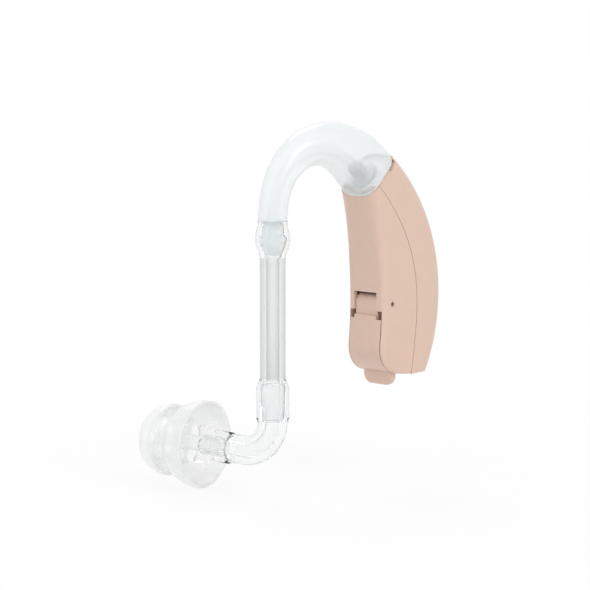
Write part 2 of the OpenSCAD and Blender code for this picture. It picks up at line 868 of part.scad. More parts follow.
module ear_tip() {
    stem = stem_diameter / 2;
    root = stem + root_swell;
    flange = flange_diameter / 2;
    dome = dome_diameter / 2;
    outlet = outlet_diameter / 2;
    start = arm_length + seat_gap;
    rim = flange_reach;
    dome_rim = rim + dome_step;
    flange_top = dome_rim - flange_crown_back;
    apex = dome_rim + dome_height;
    socket = tip_spigot_diameter / 2 + tip_clearance;
    socket_end = arm_length + tip_spigot_length + tip_end_gap;
    color([0.95, 0.97, 0.98, 0.55])
    at_arm()
        rotate_extrude()
            polygon(concat(
                [[socket, start], [stem - tip_lip, start], [stem, start + tip_lip],
                 [stem, rim - root_step / 2], [root, rim + root_step / 2],
                 [root, flange_top - flange_crown - root_swell]],
                // Under the flange, out to its rim, and back over it
                reversed(arch(flange - skirt_wall, rim + skirt_wall / 4, root + skirt_wall,
                    flange_top - flange_crown)),
                arch(flange, rim + skirt_wall / 4, front_neck_radius, flange_top),
                [[front_neck_radius, dome_rim + dome_neck]],
                // Under the dome, out to its rim, and back over it to the outlet
                reversed(arch(dome - skirt_wall, dome_rim + skirt_wall / 4, front_neck_radius + skirt_wall,
                    apex - dome_crown)),
                arch(dome, dome_rim + skirt_wall / 4, outlet + outlet_lip, apex),
                [[outlet, apex - outlet_lip], [outlet, socket_end + socket - outlet], [socket, socket_end]]
            ));
}

// Program button on the back, with its plunger, over a switch on the board
button_depth = 1.15;
button_gap = 0.12;
button_rim = 0.3;
button_way = unit([sqrt(back_radius * back_radius - pow(-button_drop - back_centre.y, 2)),
    -button_drop - back_centre.y]);
button_turn = atan2(-button_way.y, button_way.x);
button_sink = 0.1;
plunger_radius = 0.5;
plunger_length = 0.35;
button_mouth = back_centre + (back_radius - button_sink) * button_way;

// Places a piece with +Z out of the back at the button, and +X downwards
module at_button() {
    translate(in_space(button_mouth))
        rotate([0, button_turn + 90, 0])
            children();
}

module button_outline(grow, height, place) {
    half = (button_width - button_height) / 2;
    translate([0, 0, place]) {
        for (side = [-1, 1])
            translate([0, side * half, 0])
                cylinder(r = button_height / 2 + grow, h = height, $fn = 48);
        translate([-button_height / 2 - grow, -half, 0])
            cube([button_height + 2 * grow, 2 * half, height]);
    }
}

module program_button() {
    color([0.84, 0.69, 0.6])
    at_button() {
        button_outline(0, button_depth, -button_depth);
        // Flange inside the shell, which keeps the button in
        button_outline(button_rim, button_rim, -button_depth - 2 * button_rim);
        button_outline(0, 2.5 * button_rim, -button_depth - 2 * button_rim);
        translate([0, 0, -button_depth - 2 * button_rim - plunger_length])
            cylinder(r = plunger_radius, h = plunger_length + button_rim, $fn = 48);
    }
}

// Circuit board, tilted to follow the back of the case
board_thickness = 0.5;
board_length = 19.5;
board_width = 5.4;
// Depth of the middle of the board below the ear saddle, and the board's distances in front of the back
// there and at the button
board_drop = 17.6;
board_inset = 4.45;
board_foot_inset = 3.28;
function back_at(drop) = back_centre.x + sqrt(back_radius * back_radius - pow(-drop - back_centre.y, 2));
board_middle = [back_at(board_drop) - board_inset, -board_drop];
board_tilt = atan2(back_at(button_drop) - board_foot_inset - board_middle.x, button_drop - board_drop);
board_down = [sin(board_tilt), -cos(board_tilt)];
board_out = [cos(board_tilt), sin(board_tilt)];
// The switch stands on the board under the plunger, and ends where the pressed plunger would touch it
switch_size = 2.6;
switch_gap = 0.25;
plunger_tip = button_mouth - (button_depth + 2 * button_rim + plunger_length) * button_way;
switch_place = (plunger_tip - board_middle) * board_down;
switch_height = (plunger_tip - board_middle) * board_out - button_travel - switch_gap;

function board_point(down, out) = board_middle + down * board_down + out * board_out;

// Places a piece with +Z out of the board towards the back, and +X down along the board
module at_board() {
    translate(in_space(board_middle))
        rotate([0, 90 - board_tilt, 0])
            children();
}

module tact_switch() {
    color([0.2, 0.2, 0.22])
    at_board()
        translate([switch_place - switch_size / 2, -switch_size / 2, 0])
            cube([switch_size, switch_size, switch_height]);
}

module circuit_board() {
    color([0.12, 0.34, 0.2])
    at_board()
        translate([-board_length / 2, -board_width / 2, -board_thickness])
            cube([board_length, board_width, board_thickness]);
}

chip_size = [4.2, 3.6, 0.9];
chip_place = -4.6;

module amplifier_chip() {
    color([0.09, 0.09, 0.1])
    at_board()
        translate([chip_place - chip_size.x / 2, -chip_size.y / 2, 0])
            cube(chip_size);
}

capacitor_size = [1.2, 0.7, 0.6];
capacitor_shares = [[-0.04, -0.25], [-0.04, 0.02], [-0.04, 0.28], [0.1, -0.2], [0.1, 0.2]];

module board_capacitors() {
    color([0.72, 0.62, 0.48])
    at_board()
        for (share = capacitor_shares)
            translate([share.x * board_length, share.y * board_width, 0])
                translate([-capacitor_size.x / 2, -capacitor_size.y / 2, 0])
                    cube(capacitor_size);
}

// Microphone under the inlet slot, in a rubber boot
mic_size = [1.3, 4.6, 3.6];
mic_depth = 5.9;
mic_gap = 0.15;
boot_wall = 0.2;
// Distance along the hook seat at which the inside of the back lies, at a depth below the seat
function back_along(depth) =
    let (base = seat_point(0, depth) - back_centre, run = base * seat_along, inner = back_radius - shell_wall)
    sqrt(run * run - base * base + inner * inner) - run;
mic_place = [back_along(mic_depth + mic_size.z / 2) - mic_gap - boot_wall - mic_size.x / 2, mic_depth];
port_radius = 0.55;
port_bore = 0.3;

// Places a piece at a point of the hook seat's own frame, with +X along the seat and +Z out of the case
module at_seat(place) {
    translate(in_space(seat_point(place.x, place.y)))
        rotate([0, -seat_tilt, 0])
            children();
}

module microphone() {
    color([0.8, 0.72, 0.5])
    at_seat(mic_place)
        cube(mic_size, center = true);
}

module microphone_boot() {
    outer = [mic_size.x + 2 * boot_wall, mic_size.y + 2 * boot_wall, mic_size.z + boot_wall];
    rise = mic_place.y - mic_size.z / 2 - shell_wall - inlet_depth / 4;
    color([0.18, 0.18, 0.19])
    at_seat(mic_place)
        difference() {
            union() {
                translate([-outer.x / 2, -outer.y / 2, -mic_size.z / 2])
                    cube(outer);
                translate([inlet_port_place - mic_place.x, 0, mic_size.z / 2])
                    cylinder(r = port_radius, h = rise);
            }
            translate([0, 0, -over])
                cube([mic_size.x + seat_gap, mic_size.y + seat_gap, mic_size.z + 2 * over + seat_gap],
                    center = true);
            translate([inlet_port_place - mic_place.x, 0, 0])
                cylinder(r = port_bore, h = reach);
        }
}

module microphone_screen() {
    color([0.45, 0.45, 0.46])
    at_seat([inlet_port_place, inlet_depth + seat_gap])
        translate([0, 0, -shell_wall / 4])
            cylinder(r = inlet_port_radius - seat_gap, h = shell_wall / 4, $fn = 48);
}

// Receiver, its boot and the tube that joins it to the nipple
receiver_size = [2.9, 4.2, 6.2];
receiver_boot_wall = 0.35;
receiver_tube_radius = 1.3;
receiver_bend = 2.5;
receiver_gap = 2.1;
nipple_end = nipple_seat + nipple_in * seat_in;
receiver_tube_bore = 0.65;
sleeve_step = 0.05;
sleeve_lap = 0.15;
bend_middle = nipple_end + receiver_bend * turned(seat_in);
receiver_axis = bend_middle.x + receiver_bend;
receiver_top = bend_middle.y - receiver_gap;
spout_radius = 0.8;
spout_length = 1.2;

module receiver() {
    color([0.78, 0.78, 0.8])
    difference() {
        union() {
            translate([receiver_axis - receiver_size.x / 2, -receiver_size.y / 2,
                receiver_top - receiver_size.z])
                cube(receiver_size);
            translate([receiver_axis, 0, receiver_top - spout_length / 2])
                cylinder(r = spout_radius, h = 3 * spout_length / 2);
        }
        translate([receiver_axis, 0, receiver_top - over])
            cylinder(r = nipple_bore, h = spout_length + 2 * over);
    }
}

module receiver_boot() {
    outer = receiver_size + [1, 1, 1] * 2 * receiver_boot_wall;
    color([0.16, 0.16, 0.17])
    difference() {
        translate([receiver_axis - outer.x / 2, -outer.y / 2,
            receiver_top - receiver_size.z - receiver_boot_wall])
            cube(outer);
        translate([receiver_axis - receiver_size.x / 2 - seat_gap, -receiver_size.y / 2 - seat_gap,
            receiver_top - receiver_size.z - seat_gap])
            cube(receiver_size + [2, 2, 2] * seat_gap);
        translate([receiver_axis, 0, receiver_top])
            cylinder(r = receiver_tube_radius + sleeve_step + seat_gap, h = over);
    }
}

// The bend of the inner tube, between the nipple and the receiver
module receiver_arc(radius) {
    translate(in_space(bend_middle))
        rotate([90, 0, 0])
            rotate_extrude(angle = seat_tilt)
                translate([receiver_bend, 0])
                    circle(radius);
}

module receiver_tube() {
    sleeve = receiver_tube_radius + sleeve_step;
    straight = bend_middle.y - receiver_top - seat_gap;
    color([0.85, 0.87, 0.88, 0.7])
    difference() {
        union() {
            receiver_arc(receiver_tube_radius);
            translate([receiver_axis, 0, bend_middle.y - straight])
                cylinder(r = sleeve, h = straight + sleeve_lap);
            at_nipple()
                translate([0, 0, -nipple_in - sleeve_lap])
                    cylinder(r = sleeve, h = nipple_in - boss_depth + sleeve_lap - seat_gap);
        }
        receiver_arc(receiver_tube_bore);
        translate([receiver_axis, 0, bend_middle.y - straight - over])
            cylinder(r = spout_radius + seat_gap, h = straight + over + sleeve_lap);
        at_nipple()
            translate([0, 0, -nipple_in - sleeve_lap])
                cylinder(r = nipple_stem_radius + seat_gap, h = nipple_in);
    }
}

// Chassis: two side rails joined by the nipple boss, a shelf and the wall behind the battery
rail_thickness = 0.3;
rail_half = inner_half - inside_gap;
bay_gap = 0.25;
bay_wall = 0.5;
bay_radius = cradle_radius + bay_gap;
bay_step = 1;
bay_top_turn = 100;
bay_foot_turn = 48;
rail_wall = 1.1;
shelf_gap = 0.25;

module bay_arc(inner, outer) {
    intersection() {
        difference() {
            translate(cell) circle(outer);
            translate(cell) circle(inner);
        }
        polygon([
            cell, cell + reach * [cos(bay_top_turn), sin(bay_top_turn)], cell + reach * [1, 1],
            cell + reach * [cos(bay_foot_turn), -sin(bay_foot_turn)]
        ]);
    }
}

module chassis() {
    shelf = receiver_top - receiver_size.z - receiver_boot_wall - shelf_gap;
    color([0.32, 0.31, 0.3])
    difference() {
        union() {
            // Side rails, which follow the inside of the shells
            intersection() {
                case_form(shell_wall + inside_gap, cheek_wall + inside_gap, shell_wall + inside_gap);
                difference() {
                    cube([2 * reach, 2 * rail_half, 2 * reach], center = true);
                    cube([2 * reach, 2 * (rail_half - rail_thickness), 2 * reach], center = true);
                }
                slab(case_thickness) difference() {
                    polygon([
                        seat_point(0, 0), seat_point(seat_length, 0), [reach, -shelf_gap],
                        [reach, cell.y - bay_step], [cell.x + bay_radius, cell.y - bay_step],
                        [cell.x + bay_radius - bay_step, -door_top_drop],
                        [hinge.x + knuckle_radius, bay_step - pin_drop],
                        [hinge.x - knuckle_radius, knuckle_radius + bay_step - pin_drop],
                        [0, knuckle_radius + bay_step - pin_drop]
                    ]);
                    translate([receiver_axis - receiver_size.x / 2, shelf + bay_step])
                        square([receiver_size.x + bay_step, receiver_top - shelf - bay_step]);
                }
            }
            // Wall behind the battery
            slab(2 * rail_half)
                bay_arc(bay_radius, bay_radius + bay_wall);
            // Shelf under the receiver
            intersection() {
                case_form(shell_wall + inside_gap, cheek_wall + inside_gap, shell_wall + inside_gap);
                translate([0, -rail_half, shelf - bay_wall])
                    cube([receiver_axis + receiver_size.x, 2 * rail_half, bay_wall]);
            }
            // Boss for the nipple, with a bridge across the rails
            at_nipple() {
                translate([0, 0, -boss_depth + seat_gap])
                    cylinder(r = boss_radius, h = boss_depth - seat_gap);
                translate([-boss_radius, -rail_half, -boss_depth + seat_gap])
                    cube([2 * boss_radius, 2 * rail_half, boss_depth - shell_wall - inside_gap]);
            }
            // Cross bars behind the board
            at_board()
                for (end = [-1, 1])
                    translate([end * (board_length / 2 - rail_wall) - rail_wall / 2, -rail_half,
                        -board_thickness - seat_gap - bay_wall])
                        cube([rail_wall, 2 * rail_half, bay_wall]);
        }
        at_nipple()
            translate([0, 0, -boss_depth - over])
                cylinder(r = nipple_stem_radius + seat_gap, h = boss_depth + 2 * over);
        // Slots through which the battery contacts pass
        for (side = [-1, 1])
            translate([0, side * leaf_middle, 0])
                slab(leaf + 2 * seat_gap)
                    leaf_outline(seat_gap);
    }
}

// Battery contacts: two leaf springs, one at each flat side of the cell, which end behind the bay's wall
leaf = 0.15;
leaf_width = 1.6;
leaf_gap = 0.06;
leaf_foot = 1.6;
leaf_tail = 0.4;
leaf_place_share = 0.35;
leaf_touch = cell + [cell_radius * leaf_place_share, 0];
leaf_end = cell.x + bay_radius + bay_wall + leaf_tail;
leaf_inner = cell_height / 2 + leaf_gap;
leaf_middle = leaf_inner + 3 * leaf / 2;

module leaf_outline(grow) {
    translate(leaf_touch)
        circle(leaf_width / 2 + grow);
    polygon([
        leaf_touch + [0, leaf_width / 2 + grow], leaf_touch - [0, leaf_width / 2 + grow],
        [leaf_end, cell.y + leaf_foot - leaf_width - grow],
        [leaf_end, cell.y + leaf_foot + leaf_width / 2 + grow]
    ]);
}

module contact(side) {
    color([0.85, 0.72, 0.4]) {
        translate([0, side * leaf_middle, 0])
            slab(leaf)
                leaf_outline(0);
        // The dimple that touches the cell
        translate([0, side * (leaf_inner + leaf / 2), 0])
            side_hole(leaf_touch, leaf, leaf + leaf / 4);
    }
}

module positive_contact() {
    contact(-1);
}

module negative_contact() {
    contact(1);
}

// Wires: each is a thin round run along a curve, which leaves both ends straight
wire_radius = 0.12;
wire_sides = 8;
wire_rings = 12;
tiny_share = 0.001;
wire_lead = 1.2;
// Places down the board at which the wires end on it
mic_wire_down = -7.5;
receiver_wire_down = -1;
battery_wire_down = 8.9;
mic_wire_step = 0.9;
receiver_wire_half = 0.8;
receiver_wire_drop = 4.6;
battery_wire_half = 2;

function space_bezier(p, t) =
    pow(1 - t, 3) * p[0] + 3 * pow(1 - t, 2) * t * p[1] + 3 * (1 - t) * t * t * p[2] + pow(t, 3) * p[3];
function wire_ring(p, t) =
    let (centre = space_bezier(p, t),
         way = unit(pow(1 - t, 2) * (p[1] - p[0]) + 2 * (1 - t) * t * (p[2] - p[1]) + t * t * (p[3] - p[2])),
         side = unit(cross(way, [0, 1, tiny_share])), rise = cross(side, way))
    [for (k = [0 : wire_sides - 1])
        let (turn = 360 * k / wire_sides)
        centre + wire_radius * (cos(turn) * side + sin(turn) * rise)];

module wire(p) {
    loft([for (i = [0 : wire_rings]) wire_ring(p, i / wire_rings)]);
}

module microphone_wires() {
    start = seat_point(mic_place.x, mic_place.y + mic_size.z / 2 + wire_radius);
    foot = board_point(mic_wire_down, -board_thickness - seat_gap);
    color([0.8, 0.3, 0.2])
    for (lane = [-1, 0, 1])
        wire([
            in_space(start, lane * mic_wire_step),
            in_space(start - [0, wire_lead], lane * mic_wire_step),
            in_space(foot - 2 * wire_lead * board_out, lane * mic_wire_step),
            in_space(foot, lane * mic_wire_step)
        ]);
}

module receiver_wires() {
    start = [
        receiver_axis + receiver_size.x / 2 + receiver_boot_wall + seat_gap, receiver_top - receiver_wire_drop
    ];
    foot = board_point(receiver_wire_down, -board_thickness - seat_gap);
    color([0.25, 0.45, 0.75])
    for (side = [-1, 1])
        wire([
            in_space(start, side * receiver_wire_half),
            in_space(start + [wire_lead, 0], side * receiver_wire_half),
            in_space(foot - wire_lead * board_out, side * receiver_wire_half),
            in_space(foot, side * receiver_wire_half)
        ]);
}

module battery_leads() {
    start = [leaf_end + seat_gap, cell.y + leaf_foot - leaf_width / 4];
    foot = board_point(battery_wire_down, seat_gap);
    color([0.15, 0.15, 0.16])
    for (side = [-1, 1])
        wire([
            in_space(start, side * leaf_middle),
            in_space(start + [2 * wire_lead, 0], side * leaf_middle),
            in_space(foot + wire_lead * board_out, side * battery_wire_half),
            in_space(foot, side * battery_wire_half)
        ]);
}

front_shell();
rear_shell();
chassis();
ear_hook();
hook_nipple();
nipple_seal();
sound_tube();
tube_elbow();
ear_tip();
battery_door();
door_hinge_pin();
battery_can();
battery_seal();
battery_cap();
microphone();
microphone_boot();
microphone_screen();
receiver();
receiver_boot();
receiver_tube();
circuit_board();
amplifier_chip();
board_capacitors();
positive_contact();
negative_contact();
program_button();
tact_switch();
microphone_wires();
receiver_wires();
battery_leads();
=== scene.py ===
# Looks of the behind-the-ear hearing aid. Shapes are worked out in mm in the frame's axes: X runs from
# the ear tip to the back of the case, Y across it and Z up. A flat point is [x, z], in the hook's plane.
import math

import bmesh
import bpy
import numpy as np
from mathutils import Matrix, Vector


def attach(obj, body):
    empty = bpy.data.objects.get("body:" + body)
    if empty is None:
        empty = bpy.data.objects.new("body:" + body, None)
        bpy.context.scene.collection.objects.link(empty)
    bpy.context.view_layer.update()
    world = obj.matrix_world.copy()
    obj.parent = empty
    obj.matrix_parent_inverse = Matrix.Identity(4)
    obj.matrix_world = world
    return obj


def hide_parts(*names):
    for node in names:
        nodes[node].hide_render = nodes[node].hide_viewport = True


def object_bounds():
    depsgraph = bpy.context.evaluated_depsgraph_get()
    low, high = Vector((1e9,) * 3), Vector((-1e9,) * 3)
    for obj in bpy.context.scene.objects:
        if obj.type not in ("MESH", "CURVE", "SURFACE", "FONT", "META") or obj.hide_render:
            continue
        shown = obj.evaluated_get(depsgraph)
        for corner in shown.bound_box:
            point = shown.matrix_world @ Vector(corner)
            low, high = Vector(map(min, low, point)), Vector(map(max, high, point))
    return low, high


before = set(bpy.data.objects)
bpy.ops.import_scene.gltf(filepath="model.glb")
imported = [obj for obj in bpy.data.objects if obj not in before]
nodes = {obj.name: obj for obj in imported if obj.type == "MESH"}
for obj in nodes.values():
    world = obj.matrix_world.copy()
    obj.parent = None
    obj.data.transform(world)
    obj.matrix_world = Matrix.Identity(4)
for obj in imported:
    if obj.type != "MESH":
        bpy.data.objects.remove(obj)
cad_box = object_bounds()
MM = 0.001

# ---- Camera, at the photograph's angle ----
# Point that camera and lamps are turned to
AIM = (-4.394, 1.098, -20.209)
CAMERA_AZIMUTH, CAMERA_ELEVATION, CAMERA_DISTANCE = -42, 6, 400
SENSOR, LENS = 36, 152.54
# Clipping distances, in metres
CLIP_NEAR, CLIP_FAR = 0.01, 10


def stand(obj, azimuth, elevation, distance):
    """Puts obj at a distance from the aim point, on a bearing in degrees, and turns it there."""
    turn, rise = math.radians(azimuth), math.radians(elevation)
    back = Vector((math.sin(turn) * math.cos(rise), -math.cos(turn) * math.cos(rise), math.sin(rise)))
    bpy.context.scene.collection.objects.link(obj)
    obj.location = (Vector(AIM) + back * distance) * MM
    obj.rotation_mode = "QUATERNION"
    obj.rotation_quaternion = (-back).to_track_quat("-Z", "Y")


def make_camera():
    data = bpy.data.cameras.new("camera")
    data.sensor_width = SENSOR
    data.lens = LENS
    data.clip_start, data.clip_end = CLIP_NEAR, CLIP_FAR
    camera = bpy.data.objects.new("camera", data)
    stand(camera, CAMERA_AZIMUTH, CAMERA_ELEVATION, CAMERA_DISTANCE)
    bpy.context.scene.camera = camera


make_camera()


# ---- Directions and curves ----
def unit(v):
    v = np.asarray(v, float)
    return v / np.linalg.norm(v)


def heading(turn):
    """Flat direction at a turn in radians from the X axis."""
    return np.array([math.cos(turn), math.sin(turn)])


def in_space(flat, y=0.0):
    return flat[0], y, flat[1]


def arc_centre(p, q, radius):
    """Centre of the arc from p down to q, on the side of the ear."""
    way = unit(q - p)
    return (p + q) / 2 + math.sqrt(radius**2 - (np.linalg.norm(q - p) / 2) ** 2) * np.array([way[1], -way[0]])


def circles_meet(a, ra, b, rb):
    """Where two circles meet, to the right of the way from a to b."""
    gap = np.linalg.norm(b - a)
    along = (ra**2 - rb**2 + gap**2) / (2 * gap)
    way = unit(b - a)
    return a + along * way + math.sqrt(ra**2 - along**2) * np.array([way[1], -way[0]])


def bezier(points, t):
    a, b, c, d = points
    return (1 - t) ** 3 * a + 3 * (1 - t) ** 2 * t * b + 3 * (1 - t) * t**2 * c + t**3 * d


def bezier_way(points, t):
    a, b, c, d = points
    return unit((1 - t) ** 2 * (b - a) + 2 * (1 - t) * t * (c - b) + t**2 * (d - c))


def smooth(t):
    t = np.clip(t, 0, 1)
    return t * t * (3 - 2 * t)


def arc(centre, radius, start, end, steps):
    """Flat points of an arc between two turns in degrees."""
    return [np.asarray(centre) + radius * heading(turn) for turn in np.radians(np.linspace(start, end, steps + 1))]


def quarter(steps):
    """Shares from 0 to 1 that close up towards 1, as on a quarter of a circle."""
    return [math.sin(math.pi / 2 * k / steps) for k in range(steps + 1)]


# ---- Sizes that the pieces share with the frame ----
# Half of the case's width
HALF = 4.3
# Seat of the hook on the case: its front end, length and tilt, and the ways along it and into the case
SEAT_FRONT = np.array([7.7, -4.9])
SEAT_LENGTH = 8.75
SEAT_TILT = math.radians(49)
SEAT_ALONG = heading(SEAT_TILT)
SEAT_IN = np.array([math.sin(SEAT_TILT), -math.cos(SEAT_TILT)])
SEAT_BACK = SEAT_FRONT + SEAT_LENGTH * SEAT_ALONG
# Outline of the case: how far it hangs down, and the radii and feet of its arcs
CASE_DROP = 34.3
FRONT_RADIUS, BACK_RADIUS, BOTTOM_RADIUS = 66.4, 29.9, 30
FRONT_FOOT, BACK_FOOT, BOTTOM_LOW = 8.85, 21.1, 17.3
CORNER_RADIUS = 4.5
# Rounding of the edges at the front, back and underside
FRONT_EDGE, BACK_EDGE, LOW_EDGE = 0.9, 2.5, 0.4
# Widening and deepening of the front edges towards the hook seat, and the height over which it fades
TOP_WIDER, TOP_DEEPER, TOP_FADE = 1.8, 0.3, 13
# Bow of the front face and of the underside across the width
CROWN, LOW_CROWN = 0.35, 0.02
# Walls of the door, the two shells, and the front shell at the seat
WALL, FRONT_WALL, REAR_WALL, SEAT_WALL = 0.8, 0.62, 0.65, 0.7
# Battery door: its pin, half width, the tops of its skin and ledge, and the end of its foot
HINGE = np.array([12.15, -22.5])
DOOR_HALF, DOOR_TOP, LEDGE_TOP, DOOR_FOOT = 3.57, -25.0, -24.4, 16.37
# Opening for the door, and the window above it in which the hinge knuckle turns
OPENING_HALF, NOTCH_TOP = 3.7, -23.6
KNUCKLE_HALF, KNUCKLE_RADIUS, WINDOW_HALF, WINDOW_TOP = 2.525, 1.72, 2.625, -20.6
# Button cell, with its gaps to the door's front and foot
CELL_RADIUS, CELL_FRONT_GAP, CELL_LOW_GAP = 3.95, 0.12, 0.16
# Nipple: its place along the seat and its height above it
NIPPLE_PLACE, NIPPLE_OUT = 3.6, 3.4
# Tube: its axis, its top at the hook's shoulder, its foot on the elbow, and its radii
TUBE_X, SHOULDER_Z, TUBE_END_Z = -10.12, -7.95, -39.7
TUBE_RADIUS, TUBE_BORE_RADIUS = 2.05, 1.05
# Elbow: radius of its bend, the straight piece above it, its own radius, and the arm's length and direction
ELBOW_BEND, ELBOW_LEAD, ELBOW_RADIUS, ARM_LENGTH = 5.3, 0.2, 2.37, 8.1
ARM_TURN, ARM_CLIMB = math.radians(14), math.radians(1.5)
ARM_START = np.array([TUBE_X, 0, TUBE_END_Z - ELBOW_BEND - ELBOW_LEAD])
ARM = np.array([-math.sin(ARM_TURN) * math.cos(ARM_CLIMB), math.cos(ARM_TURN) * math.cos(ARM_CLIMB),
                math.sin(ARM_CLIMB)])
# Elbow's spigots, in the tube's foot and in the ear tip
SPIGOT_RADIUS, SPIGOT_LENGTH = 1.9, 5.8
TIP_SPIGOT_RADIUS, TIP_SPIGOT_LENGTH = 1.45, 5.2

FRONT_CENTRE = arc_centre(SEAT_FRONT, np.array([FRONT_FOOT, -CASE_DROP]), FRONT_RADIUS)
BACK_CENTRE = arc_centre(SEAT_BACK, np.array([BACK_FOOT, -CASE_DROP]), BACK_RADIUS)
BOTTOM_CENTRE = np.array([BOTTOM_LOW, BOTTOM_RADIUS - CASE_DROP])
CORNER_CENTRE = circles_meet(FRONT_CENTRE, FRONT_RADIUS + CORNER_RADIUS, BOTTOM_CENTRE,
                             BOTTOM_RADIUS - CORNER_RADIUS)
CELL_Z = -CASE_DROP + WALL + CELL_LOW_GAP + CELL_RADIUS
CELL_REACH = FRONT_RADIUS + WALL + CELL_FRONT_GAP + CELL_RADIUS
CELL = np.array([FRONT_CENTRE[0] + math.sqrt(CELL_REACH**2 - (CELL_Z - FRONT_CENTRE[1]) ** 2), CELL_Z])


def seat_point(along, depth=0.0):
    return SEAT_FRONT + along * SEAT_ALONG + depth * SEAT_IN


# Parting line of the shells: its gap, its ends at the seat and the foot, and its lean and pull there
PARTING_GAP = 0.1
PARTING_TOP = seat_point(2.3)
PARTING_LOW = np.array([16.5, -CASE_DROP])
PARTING_TOP_TURN, PARTING_LOW_TURN = math.radians(-46), math.radians(82)
PARTING_TOP_PULL, PARTING_LOW_PULL = 16, 10
PARTING = [PARTING_TOP, PARTING_TOP + PARTING_TOP_PULL * heading(PARTING_TOP_TURN),
           PARTING_LOW + PARTING_LOW_PULL * heading(PARTING_LOW_TURN), PARTING_LOW]

# ---- Mesh helpers ----
# Points nearer to each other than this become one
WELD = 1e-3
# A lathe profile stays this far from its axis
AXIS_GAP = 0.001


def in_scene(name, mesh):
    obj = bpy.data.objects.new(name, mesh)
    bpy.context.scene.collection.objects.link(obj)
    return obj


def make_object(name, points, faces):
    mesh = bpy.data.meshes.new(name)
    mesh.from_pydata([tuple(p) for p in np.asarray(points) * MM], [], faces)
    work = bmesh.new()
    work.from_mesh(mesh)
    bmesh.ops.remove_doubles(work, verts=work.verts, dist=WELD * MM)
    bmesh.ops.dissolve_degenerate(work, edges=work.edges, dist=WELD * MM)
    bmesh.ops.recalc_face_normals(work, faces=work.faces)
    for face in work.faces:
        face.smooth = True
    work.to_mesh(mesh)
    work.free()
    return in_scene(name, mesh)


def grid_faces(rows, columns, wrap_rows=False, wrap_columns=False):
    faces = []
    for i in range(rows if wrap_rows else rows - 1):
        for k in range(columns if wrap_columns else columns - 1):
            a, b = i * columns + k, i * columns + (k + 1) % columns
            c = (i + 1) % rows * columns
            faces.append((a, b, c + (k + 1) % columns, c + k))
    return faces


def ring_solid(name, rings):
    """A solid whose closed loop of rings runs along its outside and back along its bore."""
    rings = np.asarray(rings)
    return make_object(name, rings.reshape(-1, 3), grid_faces(rings.shape[0], rings.shape[1], True, True))


def stacked(name, rings):
    """A solid from planar closed rings one after another, with both ends closed."""
    count, sides = len(rings), len(rings[0])
    faces = grid_faces(count, sides, False, True)
    faces += [tuple(range(sides)), tuple(range(count * sides - 1, (count - 1) * sides - 1, -1))]
    return make_object(name, np.array(rings).reshape(-1, 3), faces)


def extruded(name, outline, width):
    """A prism from a flat outline, as wide as width across the plane of the hook."""
    return stacked(name, [[in_space(flat, side * width / 2) for flat in outline] for side in (-1, 1)])


def lathe(name, profile, origin, axis, steps=96):
    """A solid of revolution from a closed profile of [radius, place along the axis] points."""
    axis = unit(axis)
    side = unit(np.cross(axis, [0, 1, 0] if abs(axis[1]) < 0.9 else [1, 0, 0]))
    rise = np.cross(side, axis)
    turns = np.linspace(0, 2 * math.pi, steps, endpoint=False)
    rings = [[np.asarray(origin) + s * axis + r * (math.cos(a) * side + math.sin(a) * rise) for a in turns]
             for r, s in profile]
    return ring_solid(name, rings)


def rod(name, radius, reach, centre, axis, steps=96):
    """A plain rod to both sides of a flat point, which cuts a round hole."""
    profile = [(AXIS_GAP, -reach), (radius, -reach), (radius, reach), (AXIS_GAP, reach)]
    return lathe(name, profile, in_space(centre), axis, steps)


def add_modifier(obj, kind, **settings):
    modifier = obj.modifiers.new(kind.lower(), kind)
    for key, value in settings.items():
        setattr(modifier, key, value)


def bevel(obj, width, segments=3, angle=38):
    add_modifier(obj, "BEVEL", width=width * MM, segments=segments, limit_method="ANGLE",
                 angle_limit=math.radians(angle), harden_normals=True, use_clamp_overlap=True)


def applied(obj):
    """Bakes the modifiers of obj into its mesh."""
    mesh = bpy.data.meshes.new_from_object(obj.evaluated_get(bpy.context.evaluated_depsgraph_get()))
    obj.modifiers.clear()
    obj.data = mesh


def cut(obj, *cutters):
    for cutter in cutters:
        add_modifier(obj, "BOOLEAN", operation="DIFFERENCE", solver="EXACT", object=cutter)
    applied(obj)
    for cutter in cutters:
        bpy.data.objects.remove(cutter)


def joined(name, parts):
    """Joins several objects into one mesh, with their modifiers applied."""
    for part in parts:
        applied(part)
    work = bmesh.new()
    for part in parts:
        work.from_mesh(part.data)
    mesh = bpy.data.meshes.new(name)
    work.to_mesh(mesh)
    work.free()
    for part in parts:
        bpy.data.objects.remove(part)
    return in_scene(name, mesh)


def oriented(obj, inside):
    """Turns the faces of an open skin outwards, away from the point inside."""
    total = sum((face.center - Vector(inside) * MM).dot(face.normal) * face.area for face in obj.data.polygons)
    if total < 0:
        obj.data.flip_normals()
    return obj


def mirrored(columns):
    return [-y for y in reversed(columns[1:])] + columns


def eased(knots, steps):
    """A smooth run through [radius, place] knots, level at each knot."""
    run = []
    for (r0, s0), (r1, s1) in zip(knots[:-1], knots[1:]):
        for t in np.linspace(0, 1, steps, endpoint=False):
            run.append((r0 + (r1 - r0) * float(smooth(t)), s0 + (s1 - s0) * t))
    return run + [knots[-1]]


# ---- Case ----
# Distances between rows down the front of the shell and of the door, and steps round the corner and foot
SHELL_ROW_STEP, DOOR_ROW_STEP = 0.45, 0.4
CORNER_STEPS, FOOT_STEPS = 16, 11
# Steps across half the front face, and along each side of the front shell
FACE_STEPS, SIDE_STEPS = 24, 7
REAR_SIDE_STEPS, REAR_EDGE_STEPS, REAR_BACK_STEPS = 8, 16, 5
# Height of the front shell's last whole row above the seat's front, and of its first row, cut away later
PARTING_ROW, ROW_OVERRUN = 1.0, 3.2
# Way on which the parting line runs on above the seat
PARTING_RUN_ON = np.array([0.7, 1.1])
